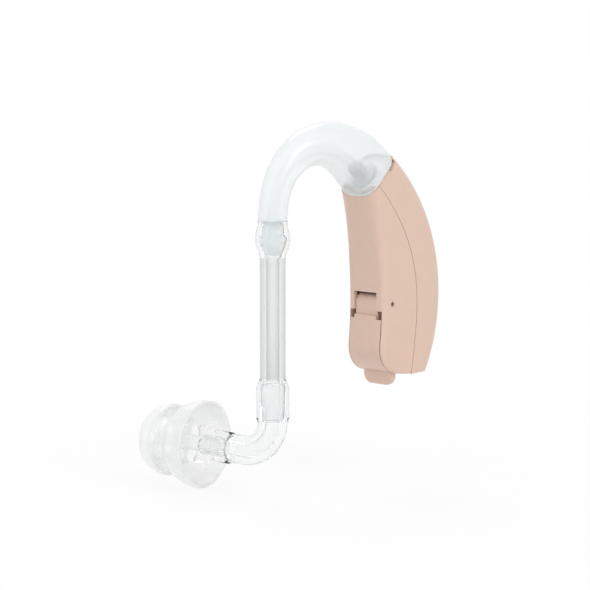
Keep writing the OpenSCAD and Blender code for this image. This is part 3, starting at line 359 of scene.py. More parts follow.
# Shares of the way down each shell, and of the parting line there
FRONT_SHARES, FRONT_PARTING_SHARES = [0.7, 0.87, 1], [0, 0.8, 0.93, 0.985]
REAR_SHARES, REAR_PARTING_SHARES = [0, 0.5, 1], [0, 0.52, 1]
HOLLOW_START_SHARE, HOLLOW_END_SHARE = 0.022, 0.98
HOLLOW_PAST_PARTING, HOLLOW_PAST_FOOT = 0.3, 0.5
FRONT_BEVEL, REAR_BEVEL = 0.09, 0.14
PIN_HOLE_RADIUS, PIN_HOLE_REACH, NIPPLE_HOLE_RADIUS, NIPPLE_HOLE_REACH = 0.42, 6, 1.98, 2
ACROSS = (0, 1, 0)
SEAT_OUT = in_space(-SEAT_IN)
# Microphone inlet: the slot's ends along the seat, its depth, and the place and radius of its port
INLET_START, INLET_END, INLET_DEPTH, INLET_PORT, INLET_PORT_RADIUS = 5.6, 7.9, 0.4, 6.6, 0.5
# Program button across the back: its height, half length, radius, gap and sink below the surface
BUTTON_Z, BUTTON_HALF, BUTTON_RADIUS, BUTTON_GAP, BUTTON_SINK = -25.4, 1.95, 0.75, 0.12, 0.1
BUTTON_SIDES = 64
BUTTON_RISE = BUTTON_Z - BACK_CENTRE[1]
BUTTON_WAY = unit([math.sqrt(BACK_RADIUS**2 - BUTTON_RISE**2), BUTTON_RISE])
BUTTON_MOUTH = BACK_CENTRE + (BACK_RADIUS - BUTTON_SINK) * BUTTON_WAY


def edge_section(y, crown, wide, deep):
    """Depth of the front face at y below its middle line: a crown with rounded edges."""
    bow = (HALF**2 + crown**2) / (2 * crown)
    beyond = max(abs(y) - (HALF - wide), 0) / wide
    return bow - math.sqrt(bow**2 - y**2) + deep * (1 - math.sqrt(max(1 - beyond**2, 0)))


def front_rows(start_z, level, foot_x, step):
    """Rows down the front outline from start_z, one of them at level, round the corner and back to foot_x.

    Each row is (point, outward direction, crown, edge width, edge depth, share of the way to the foot)."""
    full = 2 * math.pi
    low = CORNER_CENTRE - FRONT_CENTRE
    start, end = math.asin((start_z - FRONT_CENTRE[1]) / FRONT_RADIUS), math.atan2(low[1], low[0])
    turns = set(np.linspace(start, end, int((start - end) * FRONT_RADIUS / step)))
    turns.add(math.asin((level - FRONT_CENTRE[1]) / FRONT_RADIUS))
    rows = []
    for turn in sorted(turns, reverse=True):
        way = heading(turn)
        point = FRONT_CENTRE + FRONT_RADIUS * way
        top = float(smooth(1 - (SEAT_FRONT[1] - point[1]) / TOP_FADE))
        rows.append((point, -way, CROWN, FRONT_EDGE + TOP_WIDER * top, FRONT_EDGE + TOP_DEEPER * top))
    out, down = FRONT_CENTRE - CORNER_CENTRE, CORNER_CENTRE - BOTTOM_CENTRE
    first, last = math.atan2(out[1], out[0]) % full, math.atan2(down[1], down[0]) % full
    for t in np.linspace(0, 1, CORNER_STEPS + 1)[1:]:
        way = heading(first + (last - first) * t)
        crown = CROWN + (LOW_CROWN - CROWN) * float(smooth(t))
        edge = FRONT_EDGE + (LOW_EDGE - FRONT_EDGE) * float(smooth(t))
        rows.append((CORNER_CENTRE + CORNER_RADIUS * way, way, crown, edge, edge))
    foot = -math.acos((foot_x - BOTTOM_CENTRE[0]) / BOTTOM_RADIUS) % full
    for t in np.linspace(0, 1, FOOT_STEPS + 1)[1:]:
        way = heading(last + (foot - last) * t)
        rows.append((BOTTOM_CENTRE + BOTTOM_RADIUS * way, way, LOW_CROWN, LOW_EDGE, LOW_EDGE))
    length = np.cumsum([0] + [np.linalg.norm(b[0] - a[0]) for a, b in zip(rows[:-1], rows[1:])])
    return [row + (share,) for row, share in zip(rows, length / length[-1])]


def front_rings(rows, inset):
    """Rings of the front shell, from one side at the parting line over the face to the other side."""
    half = HALF - inset
    columns = [y * half / HALF for y in mirrored([HALF * share for share in quarter(FACE_STEPS)])]
    level = SEAT_FRONT[1] + PARTING_ROW
    start = min(row[5] for row in rows if row[0][1] <= level + WELD)
    rings = []
    for point, out, crown, wide, deep, share in rows:
        if point[1] > level:
            split = PARTING_TOP + (point[1] - level) * PARTING_RUN_ON
        else:
            split = bezier(PARTING, np.interp(share, [start] + FRONT_SHARES, FRONT_PARTING_SHARES))
        split = split - np.array([PARTING_GAP / 2, 0])
        if inset:
            split = split - inset * out + np.array([HOLLOW_PAST_PARTING, 0])
        rim = point - (edge_section(HALF, crown, wide, deep) + inset) * out
        sides = [rim + (split - rim) * m / SIDE_STEPS for m in range(SIDE_STEPS, 0, -1)]
        ring = [in_space(flat, -half) for flat in sides]
        for y in columns:
            depth = edge_section(y * HALF / half, crown, wide, deep) + inset
            ring.append(in_space(point - depth * out, y))
        rings.append(ring + [in_space(flat, half) for flat in reversed(sides)])
    return rings


def above_seat(name, depth):
    """Everything above the hook seat, or above a plane at a depth below it."""
    before, beyond = -20, 30
    outline = [seat_point(before, depth), seat_point(beyond, depth), seat_point(beyond, -beyond),
               seat_point(before, -beyond)]
    return extruded(name, outline, 4 * HALF)


def nipple_cutter():
    return rod("nipple_cutter", NIPPLE_HOLE_RADIUS, NIPPLE_HOLE_REACH, seat_point(NIPPLE_PLACE), SEAT_OUT)


def case_front():
    """Front shell: the hollow face, its rounded edges, both sides to the parting line, and the seat."""
    rows = front_rows(SEAT_FRONT[1] + ROW_OVERRUN, SEAT_FRONT[1] + PARTING_ROW, PARTING_LOW[0] - PARTING_GAP / 2,
                      SHELL_ROW_STEP)
    obj = stacked("case_front", front_rings(rows, 0))
    rings = front_rings(rows, FRONT_WALL)
    rings.append([(x + HOLLOW_PAST_FOOT, y, z) for x, y, z in rings[-1]])
    hollow = stacked("front_hollow", rings)
    cut(hollow, above_seat("hollow_top", SEAT_WALL))
    window_back, window_foot, foot, below = 13, NOTCH_TOP - 1, DOOR_FOOT + 0.07, -40
    window = [(0, WINDOW_TOP), (window_back, WINDOW_TOP), (window_back, window_foot), (0, window_foot)]
    opening = [(0, NOTCH_TOP), (foot, NOTCH_TOP), (foot, below), (0, below)]
    cut(obj, above_seat("seat_cutter", 0), hollow, extruded("window", window, 2 * WINDOW_HALF),
        extruded("opening", opening, 2 * OPENING_HALF),
        rod("pin_cutter", PIN_HOLE_RADIUS, PIN_HOLE_REACH, HINGE, ACROSS), nipple_cutter())
    bevel(obj, FRONT_BEVEL)
    return obj


def button_form(name, grow, low, high, rounding=0.0):
    """A pill-shaped prism across the back, from low to high along the button's way."""
    down = np.array([BUTTON_WAY[1], -BUTTON_WAY[0]])
    rings = []
    for place in (low, high):
        ring = []
        for turn in np.linspace(0, 2 * math.pi, BUTTON_SIDES, endpoint=False):
            y = math.copysign(BUTTON_HALF, math.cos(turn)) + (BUTTON_RADIUS + grow) * math.cos(turn)
            d = (BUTTON_RADIUS + grow) * math.sin(turn)
            ring.append(in_space(BUTTON_MOUTH + place * BUTTON_WAY + d * down, y))
        rings.append(ring)
    obj = stacked(name, rings)
    if rounding:
        bevel(obj, rounding, 4)
    return obj


def rear_rings(shares, inset):
    """Rings of the rear shell, each from one side at the parting line over the back to the other side."""
    back_low = circles_meet(BACK_CENTRE, BACK_RADIUS, BOTTOM_CENTRE, BOTTOM_RADIUS)
    top, low = SEAT_BACK - BACK_CENTRE, back_low - BACK_CENTRE
    first, last = math.atan2(top[1], top[0]), math.atan2(low[1], low[0])
    half, edge = HALF - inset, BACK_EDGE - inset
    rings = []
    for share in shares:
        back = BACK_CENTRE + (BACK_RADIUS - inset) * heading(first + (last - first) * share)
        split = bezier(PARTING, np.interp(share, REAR_SHARES, REAR_PARTING_SHARES)) + np.array([PARTING_GAP / 2, 0])
        way = unit(back - split)
        if inset:
            split = split - HOLLOW_PAST_PARTING * way
        length = np.linalg.norm(back - split)
        line = [((length - edge) * m / REAR_SIDE_STEPS, half) for m in range(REAR_SIDE_STEPS)]
        for m in range(REAR_EDGE_STEPS + 1):
            turn = math.pi / 2 * m / REAR_EDGE_STEPS
            line.append((length - edge + edge * math.sin(turn), half - edge + edge * math.cos(turn)))
        line += [(length, (half - edge) * (1 - m / REAR_BACK_STEPS)) for m in range(1, REAR_BACK_STEPS + 1)]
        line += [(a, -y) for a, y in reversed(line[:-1])]
        rings.append([in_space(split + a * way, y) for a, y in line])
    return rings


def case_rear():
    """Rear shell: the rounded back with both sides behind the parting line, the seat and the foot."""
    obj = stacked("case_rear", rear_rings(np.linspace(0, 1, 81), 0))
    hollow = stacked("rear_hollow", rear_rings(np.linspace(HOLLOW_START_SHARE, HOLLOW_END_SHARE, 70), REAR_WALL))
    slot = [seat_point(INLET_START, -1), seat_point(INLET_START, INLET_DEPTH),
            seat_point(INLET_END, INLET_DEPTH), seat_point(INLET_END, -1)]
    cut(obj, hollow, nipple_cutter(), extruded("slot_cutter", slot, 2 * HALF + 1),
        button_form("button_cutter", BUTTON_GAP, -3, 2),
        rod("port_cutter", INLET_PORT_RADIUS, NIPPLE_HOLE_REACH, seat_point(INLET_PORT), in_space(SEAT_IN), 32))
    bevel(obj, REAR_BEVEL)
    return obj


# ---- Battery door ----
DOOR_COLUMN_STEP, DOOR_EDGE_STEPS, DOOR_BEVEL = 0.4, 6, 0.13
# Hinge knuckle, with its foot inside the skin, from its face and the ledge
KNUCKLE_BORE_RADIUS, KNUCKLE_BEVEL = 0.45, 0.16
KNUCKLE_FOOT = [(0.02, -0.3), (1.1, -0.9)]
# Cradle round the cell, closed between two turns
CRADLE_GAP, CRADLE_WALL, CRADLE_WIDTH, CRADLE_BEVEL = 0.06, 0.42, 4.4, 0.08
CRADLE_FROM, CRADLE_TO, CRADLE_STEPS = 75, 322, 60
# Finger tab, with the place of its round corners
TAB_BACK, TAB_THICKNESS, TAB_LENGTH, TAB_WIDTH, TAB_ROOT = 13.9, 0.95, 1.8, 6.8, 0.5
TAB_CORNER_SHARE, TAB_CORNER_RADIUS, TAB_BEVEL = 0.48, 1.75, 0.22


def door_skin():
    """The door's outside: a strip of the front face that runs round the corner and under the cell."""
    middle = np.linspace(0, KNUCKLE_HALF, int(KNUCKLE_HALF / DOOR_COLUMN_STEP) + 1, endpoint=False)
    columns = list(middle) + [KNUCKLE_HALF + (DOOR_HALF - KNUCKLE_HALF) * share for share in quarter(DOOR_EDGE_STEPS)]
    rows = front_rows(LEDGE_TOP, DOOR_TOP, DOOR_FOOT, DOOR_ROW_STEP)
    points = [[in_space(point - edge_section(y, crown, wide, deep) * out, y) for y in mirrored(columns)]
              for point, out, crown, wide, deep, share in rows]
    width = len(points[0])
    keep = []
    for i, face in enumerate(grid_faces(len(points), width)):
        row, column = divmod(i, width - 1)
        middle_z = (rows[row][0][1] + rows[row + 1][0][1]) / 2
        middle_y = abs(points[row][column][1] + points[row][column + 1][1]) / 2
        if middle_z < DOOR_TOP or middle_y < KNUCKLE_HALF:
            keep.append(face)
    skin = oriented(make_object("door_skin", np.array(points).reshape(-1, 3), keep), in_space(CELL))
    add_modifier(skin, "SOLIDIFY", thickness=WALL * MM, offset=-1, use_even_offset=True)
    bevel(skin, DOOR_BEVEL)
    return skin


def door_knuckle():
    face_x = HINGE[0] - KNUCKLE_RADIUS
    outline = arc(HINGE, KNUCKLE_RADIUS, -60, 180, 40) + [(face_x + x, LEDGE_TOP + z) for x, z in KNUCKLE_FOOT]
    knuckle = extruded("knuckle", outline, 2 * KNUCKLE_HALF)
    cut(knuckle, rod("knuckle_bore", KNUCKLE_BORE_RADIUS, PIN_HOLE_REACH, HINGE, ACROSS, 48))
    bevel(knuckle, KNUCKLE_BEVEL)
    return knuckle


def door_cradle():
    """Ring round the cell, open towards the inside of the case."""
    inner = CELL_RADIUS + CRADLE_GAP
    outline = arc(CELL, inner + CRADLE_WALL, CRADLE_FROM, CRADLE_TO, CRADLE_STEPS)
    outline += arc(CELL, inner, CRADLE_TO, CRADLE_FROM, CRADLE_STEPS)
    cradle = extruded("cradle", outline, CRADLE_WIDTH)
    bevel(cradle, CRADLE_BEVEL, 2)
    return cradle


def door_tab():
    """Finger tab: a plate with a round foot that hangs below the door."""
    half, foot = TAB_WIDTH / 2, TAB_WIDTH / 2 * TAB_CORNER_SHARE
    corner_z = -CASE_DROP - TAB_LENGTH + TAB_CORNER_RADIUS
    outline = [(-half, -CASE_DROP + TAB_ROOT), (-half, -CASE_DROP)]
    outline += arc((-foot, corner_z), TAB_CORNER_RADIUS, 190, 270, 14)
    outline += arc((foot, corner_z), TAB_CORNER_RADIUS, 270, 350, 14)
    outline += [(half, -CASE_DROP), (half, -CASE_DROP + TAB_ROOT)]
    tab = stacked("tab", [[(x, y, z) for y, z in outline] for x in (TAB_BACK - TAB_THICKNESS, TAB_BACK)])
    bevel(tab, TAB_BEVEL, 4, 50)
    return tab


# ---- Ear hook and its nipple ----
HOOK_END = np.array([TUBE_X, SHOULDER_Z])
# Curve of the hook: its turn and pull at the case, and its pull above the shoulder
HOOK_TURN, HOOK_REACH, HOOK_FALL = math.radians(128.7), 12, 12.3
HOOK_MIDDLE = seat_point(SEAT_LENGTH / 2)
HOOK_CURVE = [HOOK_MIDDLE, HOOK_MIDDLE + HOOK_REACH * heading(HOOK_TURN), HOOK_END + np.array([0, HOOK_FALL]),
              HOOK_END]
HOOK_END_RADIUS, HOOK_BASE_RADIUS, BORE_RADIUS = 2.36, 4.325, 0.95
# The hook's swelling towards the case, its flatness there, and how square its section is at the seat
HOOK_SWELL, HOOK_SIDE_SHARE, HOOK_SQUARE = 1.25, 0.94, 1.2
# Shares of the hook over which its rings turn into the seat, widen to round and lose their square section
SEAT_TURN_SHARE, ROUND_SHARE, SQUARE_SHARE = 0.2, 0.5, 0.45
# Bore of the hook, with its shares of the hook's pulls
BORE_GAP, BORE_REACH_SHARE, BORE_FALL_SHARE = 0.03, 0.7, 0.93
BORE_START = seat_point(NIPPLE_PLACE, -NIPPLE_OUT - BORE_GAP)
BORE_CURVE = [BORE_START, BORE_START - HOOK_REACH * BORE_REACH_SHARE * SEAT_IN,
              HOOK_END + np.array([0, HOOK_FALL * BORE_FALL_SHARE]), HOOK_END]
# Barb in the tube, and the ends of its wide part
BARB_LENGTH, NECK_RADIUS, BARB_RADIUS, BARB_TIP_RADIUS = 5.4, 1.65, 2.1, 1.25
BARB_RISE, BARB_FALL = 0.42 * BARB_LENGTH, 0.58 * BARB_LENGTH
# Socket of the hook, round the nipple and its flange
SOCKET_RADIUS, SOCKET_FOOT_RADIUS, SOCKET_STEP, SOCKET_TOP_GAP = 1.29, 2.53, 0.5, 0.06
# Nipple: the radii of its bore, stem, spout, barbs and flange, and the shares of its height with barbs
NIPPLE_BORE, NIPPLE_STEM, NIPPLE_SPOUT, NIPPLE_BARB, NIPPLE_FLANGE = 0.6, 0.85, 1.05, 1.25, 1.75
NIPPLE_STEM_LENGTH, NIPPLE_FLANGE_HEIGHT, NIPPLE_ROUNDING = 2.6, 0.45, 0.03
NIPPLE_BARB_SHARES, NIPPLE_BARB_LENGTH_SHARE = (0.35, 0.6, 0.85), 0.15
RING_TURNS = np.linspace(0, 2 * math.pi, 72, endpoint=False)


def flat_ring(centre, across, radius, side, power=2.0):
    """A ring round a flat centre: across is its direction in the plane, and power above 2 squares it."""
    ring = []
    for turn in RING_TURNS:
        a, b = (math.copysign(abs(part) ** (2 / power), part) for part in (math.cos(turn), math.sin(turn)))
        ring.append(in_space(centre + radius * a * across, side * b))
    return ring


def hook_rings(steps):
    rings = []
    for t in np.linspace(0, 1, steps):
        swell = ((1 + math.cos(math.pi * t)) / 2) ** HOOK_SWELL
        radius = HOOK_END_RADIUS + (HOOK_BASE_RADIUS - HOOK_END_RADIUS) * swell
        way = bezier_way(HOOK_CURVE, t)
        turn = math.atan2(way[1], way[0]) - math.pi / 2
        if turn < -math.pi:
            turn += 2 * math.pi
        turn += (SEAT_TILT - turn) * float(smooth(1 - t / SEAT_TURN_SHARE))
        side = radius * (HOOK_SIDE_SHARE + (1 - HOOK_SIDE_SHARE) * min(1, t / ROUND_SHARE))
        power = 2 + HOOK_SQUARE * (1 - float(smooth(t / SQUARE_SHARE)))
        rings.append(flat_ring(bezier(HOOK_CURVE, t), heading(turn), radius, side, power))
    return rings


def axis_rings(profile):
    """Rings round the tube's axis from [radius, depth below the shoulder] points."""
    return [flat_ring(np.array([TUBE_X, SHOULDER_Z - depth]), np.array([-1, 0]), r, r) for r, depth in profile]


def ear_hook():
    barb = [(HOOK_END_RADIUS - 0.1, 0), (NECK_RADIUS + 0.1, 0), (NECK_RADIUS, 0.1), (NECK_RADIUS, BARB_RISE),
            (BARB_RADIUS - 0.03, BARB_RISE + 0.2), (BARB_RADIUS, BARB_RISE + 0.3), (BARB_RADIUS, BARB_FALL),
            (BARB_RADIUS - 0.05, BARB_FALL + 0.15), (BARB_TIP_RADIUS + 0.1, BARB_LENGTH - 0.2),
            (BARB_TIP_RADIUS, BARB_LENGTH), (BORE_RADIUS + 0.06, BARB_LENGTH), (BORE_RADIUS, BARB_LENGTH - 0.06)]
    channel = []
    for t in np.linspace(1, 0, 60):
        way = bezier_way(BORE_CURVE, t)
        channel.append(flat_ring(bezier(BORE_CURVE, t), np.array([way[1], -way[0]]), BORE_RADIUS, BORE_RADIUS))
    profile = [(SOCKET_RADIUS, NIPPLE_OUT + SOCKET_TOP_GAP), (SOCKET_RADIUS, SOCKET_STEP),
               (SOCKET_FOOT_RADIUS, SOCKET_STEP), (SOCKET_FOOT_RADIUS, 0)]
    socket = [flat_ring(seat_point(NIPPLE_PLACE, -height), SEAT_ALONG, r, r) for r, height in profile]
    return ring_solid("hook", hook_rings(110) + axis_rings(barb) + channel + socket)


def hook_nipple():
    """Metal spout with a flange and three barbs, seen through the hook."""
    profile = [(NIPPLE_STEM, -NIPPLE_STEM_LENGTH), (NIPPLE_STEM, 0), (NIPPLE_FLANGE - NIPPLE_ROUNDING, 0),
               (NIPPLE_FLANGE, NIPPLE_ROUNDING), (NIPPLE_FLANGE, NIPPLE_FLANGE_HEIGHT - NIPPLE_ROUNDING),
               (NIPPLE_FLANGE - NIPPLE_ROUNDING, NIPPLE_FLANGE_HEIGHT), (NIPPLE_SPOUT, NIPPLE_FLANGE_HEIGHT)]
    for share in NIPPLE_BARB_SHARES:
        low, high = share * NIPPLE_OUT, (share + NIPPLE_BARB_LENGTH_SHARE) * NIPPLE_OUT
        profile += [(NIPPLE_SPOUT, low), (NIPPLE_BARB, low), (NIPPLE_SPOUT, high)]
    profile += [(NIPPLE_BORE, NIPPLE_OUT), (NIPPLE_BORE, -NIPPLE_STEM_LENGTH)]
    return lathe("nipple", profile, in_space(seat_point(NIPPLE_PLACE)), SEAT_OUT, 64)


# ---- Sound tube and elbow ----
# Gap between the tube and what it is stretched over
FIT_GAP = 0.05


def stretched(inner):
    """Outer radius of the tube where it is stretched to an inner radius."""
    return math.sqrt(inner**2 + TUBE_RADIUS**2 - TUBE_BORE_RADIUS**2)


def sound_tube():
    """Clear tube, swollen over the barb at its top and over the elbow's spigot at its foot."""
    length = SHOULDER_Z - TUBE_END_Z
    foot = length - SPIGOT_LENGTH
    neck, wide, tip = NECK_RADIUS + FIT_GAP, BARB_RADIUS + FIT_GAP, BARB_TIP_RADIUS + FIT_GAP
    spigot = SPIGOT_RADIUS + FIT_GAP
    over_barb, over_spigot = stretched(wide), stretched(spigot)
    outside = [(neck, 0.03), (HOOK_END_RADIUS - 0.12, 0.03), (HOOK_END_RADIUS - 0.03, 0.06), (HOOK_END_RADIUS, 0.15)]
    outside += eased([(HOOK_END_RADIUS, 0.3), (over_barb, BARB_RISE + 0.5), (over_barb, BARB_FALL + 0.1),
                      (TUBE_RADIUS + 0.05, BARB_LENGTH + 0.4), (TUBE_RADIUS, BARB_LENGTH + 1.4)], 8)
    outside += eased([(TUBE_RADIUS, foot - 1.2), (over_spigot, foot + 0.9), (over_spigot, length - 0.25)], 10)
    outside += [(over_spigot - 0.04, length - 0.08), (over_spigot - 0.14, length - 0.03)]
    inside = [(spigot, length - 0.03), (spigot, foot - 0.05), (TUBE_BORE_RADIUS, foot - 0.5),
              (TUBE_BORE_RADIUS, BARB_LENGTH + 0.5), (tip, BARB_LENGTH + FIT_GAP), (wide, BARB_FALL),
              (wide, BARB_RISE + 0.22), (neck, BARB_RISE)]
    return ring_solid("tube", axis_rings(outside + inside))


def elbow_path():
    """A function for places along the elbow, and the place along it at which the arm would start."""
    turn_all = math.pi / 2 + ARM_CLIMB
    bend_in = ELBOW_BEND * math.tan(turn_all / 2)
    top = np.array([TUBE_X, 0, ARM_START[2] + bend_in])
    level, up = unit([ARM[0], ARM[1], 0]), np.array([0, 0, 1])
    across = np.cross(level, up)
    bend_start = TUBE_END_Z - top[2]
    bend_end = bend_start + ELBOW_BEND * turn_all

    def place(s):
        """Point and two directions at s past the tube's end, s below zero being inside the tube."""
        if s <= bend_start:
            return np.array([TUBE_X, 0, TUBE_END_Z - s]), level, across
        turn = min((s - bend_start) / ELBOW_BEND, turn_all)
        side = math.cos(turn) * level + math.sin(turn) * up
        point = top + ELBOW_BEND * (level - side) if s <= bend_end else ARM_START + (bend_in + s - bend_end) * ARM
        return point, side, across
    return place, bend_end - bend_in


def elbow():
    place, arm_zero = elbow_path()
    arm = arm_zero + ARM_LENGTH
    end = arm + TIP_SPIGOT_LENGTH
    bore, collar = TUBE_BORE_RADIUS, ELBOW_RADIUS + 0.12
    outside = [(bore, -SPIGOT_LENGTH), (SPIGOT_RADIUS - 0.3, -SPIGOT_LENGTH), (SPIGOT_RADIUS, 0.4 - SPIGOT_LENGTH),
               (SPIGOT_RADIUS, 0), (ELBOW_RADIUS, 0), (collar - 0.02, 0.02), (collar, 0.06), (collar, 0.24),
               (ELBOW_RADIUS + 0.05, 0.32), (ELBOW_RADIUS, 0.45)]
    outside += [(ELBOW_RADIUS, s) for s in np.linspace(0.6, arm - 0.25, 60)]
    outside += [(ELBOW_RADIUS - 0.07, arm - 0.06), (ELBOW_RADIUS - 0.2, arm), (TIP_SPIGOT_RADIUS, arm),
                (TIP_SPIGOT_RADIUS, end - 0.2), (TIP_SPIGOT_RADIUS - 0.15, end)]
    inside = [(bore, s) for s in np.linspace(end, 0.2 - SPIGOT_LENGTH, 70)]
    rings = []
    for r, s in outside + inside:
        point, first, second = place(s)
        rings.append([point + r * (math.cos(a) * first + math.sin(a) * second) for a in RING_TURNS])
    return ring_solid("elbow", rings)


# ---- Ear tip, with places measured along the arm ----
TIP_START = ARM_LENGTH + 0.03
TIP_STEM_RADIUS, TIP_ROOT_RADIUS, TIP_NECK_RADIUS, TIP_OUTLET_RADIUS = 2.55, 3.1, 3.2, 1.1
FLANGE_RADIUS, DOME_RADIUS, SKIRT = 7.15, 5.9, 0.5
FLANGE_RIM, DOME_RIM, TIP_APEX = 13.2, 19.8, 24.7
FLANGE_TOP = DOME_RIM - 0.9
TIP_ROOT_END = FLANGE_TOP - 2.6
TIP_SOCKET_RADIUS, TIP_SOCKET_END = TIP_SPIGOT_RADIUS + FIT_GAP, 13.4


def arch(r0, s0, r1, s1, steps=22):
    """A quarter of an oval from its rim at [r0, s0] to its crown at [r1, s1]."""
    turns = np.radians(np.linspace(0, 90, steps + 1))
    return [(r1 + (r0 - r1) * math.cos(a), s0 + (s1 - s0) * math.sin(a)) for a in turns]


def skirt(radius, rim, inner_crown, outer_crown):
    """Two parts of a profile: up the inside of a cup from its crown to its rim, and back over its outside."""
    inner = arch(radius - SKIRT, rim + 0.12, *inner_crown)[::-1]
    lip = [(radius - SKIRT / 2 - 0.1, rim), (radius - SKIRT / 2 + 0.1, rim)]
    return inner + lip + arch(radius, rim + 0.12, *outer_crown)


def ear_tip():
    """Soft tip: a stem, a wide flange and a front dome with the sound outlet."""
    profile = [(TIP_SOCKET_RADIUS, TIP_START), (TIP_STEM_RADIUS - 0.2, TIP_START),
               (TIP_STEM_RADIUS - 0.06, TIP_START + 0.06), (TIP_STEM_RADIUS, TIP_START + 0.2)]
    profile += eased([(TIP_STEM_RADIUS, FLANGE_RIM - 1.1), (TIP_ROOT_RADIUS, FLANGE_RIM + 0.8),
                      (TIP_ROOT_RADIUS, TIP_ROOT_END)], 8)[1:]
    profile += skirt(FLANGE_RADIUS, FLANGE_RIM, (TIP_ROOT_RADIUS + 0.3, FLANGE_TOP - 1.9),
                     (TIP_NECK_RADIUS + 0.15, FLANGE_TOP))
    profile += [(TIP_NECK_RADIUS, FLANGE_TOP + 0.2), (TIP_NECK_RADIUS, DOME_RIM + 1.1)]
    profile += skirt(DOME_RADIUS, DOME_RIM, (TIP_NECK_RADIUS + 0.3, TIP_APEX - 2.6),
                     (TIP_OUTLET_RADIUS + 0.45, TIP_APEX))
    profile += [(TIP_OUTLET_RADIUS + 0.15, TIP_APEX - 0.1), (TIP_OUTLET_RADIUS, TIP_APEX - 0.4),
                (TIP_OUTLET_RADIUS, TIP_SOCKET_END + 0.4), (TIP_SOCKET_RADIUS, TIP_SOCKET_END)]
    return lathe("tip", profile, ARM_START, ARM, 128)


# ---- Materials ----
MATERIALS = {}
# Noise detail of a material's colour, and of its gloss and bump
COLOUR_DETAIL, FINE_DETAIL = 4, 3
# Part of the noise's range that a ramp covers
RAMP_LOW, RAMP_HIGH = 0.3, 0.7


def add_node(tree, kind, operation=None, **inputs):
    node = tree.nodes.new("ShaderNode" + kind)
    if operation:
        node.operation = operation
    for key, value in inputs.items():
        node.inputs[key.replace("_", " ")].default_value = value
    return node


def look(name, colour, rough, sizes, colours, roughs, bump, distance=0.01, **sockets):
    """A named material: sizes are the grain in mm of its colour, gloss and relief, colours and roughs the ends of
    their ranges, and bump and distance the relief's strength and height."""
    made = bpy.data.materials.new(name)
    made.use_nodes = True
    tree = made.node_tree
    surface = tree.nodes["Principled BSDF"]
    surface.inputs["Base Color"].default_value = (*colour, 1)
    surface.inputs["Roughness"].default_value = rough
    for key, value in sockets.items():
        surface.inputs[key.replace("_", " ")].default_value = value
    place = tree.nodes.new("ShaderNodeTexCoord")

    def noise(size, detail):
        texture = add_node(tree, "TexNoise", Scale=1 / (size * MM), Detail=detail)
        tree.links.new(place.outputs["Object"], texture.inputs["Vector"])
        return texture.outputs["Fac"]

    def ramp(source, low, high, target):
        node = tree.nodes.new("ShaderNodeValToRGB")
        ends = node.color_ramp.elements
        ends[0].position, ends[1].position = RAMP_LOW, RAMP_HIGH
        ends[0].color, ends[1].color = (*low, 1), (*high, 1)
        tree.links.new(source, node.inputs["Fac"])
        tree.links.new(node.outputs["Color"], surface.inputs[target])

    ramp(noise(sizes[0], COLOUR_DETAIL), *colours, "Base Color")
    ramp(noise(sizes[1], FINE_DETAIL), (roughs[0],) * 3, (roughs[1],) * 3, "Roughness")
    relief = add_node(tree, "Bump", Strength=bump, Distance=distance * MM)
    tree.links.new(noise(sizes[2], FINE_DETAIL), relief.inputs["Height"])
    tree.links.new(relief.outputs["Normal"], surface.inputs["Normal"])
    MATERIALS[name] = made
    return made


def see_through(made, facing, grazing):
    """Lets light straight through: a thin soft skin is clearest where it is looked at squarely."""
    tree = made.node_tree
    weight = add_node(tree, "LayerWeight", Blend=0.35)
    spread = add_node(tree, "MapRange", To_Min=facing, To_Max=grazing)
    tree.links.new(weight.outputs["Facing"], spread.inputs["Value"])
    tree.links.new(spread.outputs["Result"], tree.nodes["Principled BSDF"].inputs["Alpha"])


def painted_edge_shade(made, edge_shade_colour, blend):
    """Paints shade into the colour of clear plastic where its surface is seen at a slant, in place of the dark edges
    that refraction gives.
    """
    tree = made.node_tree
    surface = tree.nodes["Principled BSDF"]
    grained = surface.inputs["Base Color"].links[0].from_socket
    weight = add_node(tree, "LayerWeight", Blend=blend)
    spread = tree.nodes.new("ShaderNodeValToRGB")
    spread.color_ramp.elements[0].color = (1, 1, 1, 1)
    spread.color_ramp.elements[1].color = (*edge_shade_colour, 1)
    spread.color_ramp.elements[0].position = 0.35
    mix = tree.nodes.new("ShaderNodeMix")
    mix.data_type = "RGBA"
    mix.blend_type = "MULTIPLY"
    mix.inputs[0].default_value = 1
    # Of the Mix node's sockets, inputs 6 and 7 and output 2 are the ones for colours
    tree.links.new(weight.outputs["Facing"], spread.inputs["Fac"])
    tree.links.new(grained, mix.inputs[6])
    tree.links.new(spread.outputs["Color"], mix.inputs[7])
    tree.links.new(mix.outputs[2], surface.inputs["Base Color"])


def linear(r, g, b):
    """A colour as it looks on screen, 0 to 255, as linear light."""
    return tuple(((c / 255 + 0.055) / 1.055) ** 2.4 for c in (r, g, b))


# Moulded plastic of the case
look("case", linear(223, 194, 177), 0.32, (1.8, 0.5, 0.12), (linear(222, 193, 175), linear(224, 195, 177)),
     (0.29, 0.36), 0.06, Subsurface_Weight=0.06, Subsurface_Scale=0.0005)
look("button", linear(205, 176, 158), 0.4, (1.2, 0.4, 0.1), (linear(202, 173, 155), linear(209, 180, 162)),
     (0.36, 0.46), 0.12)

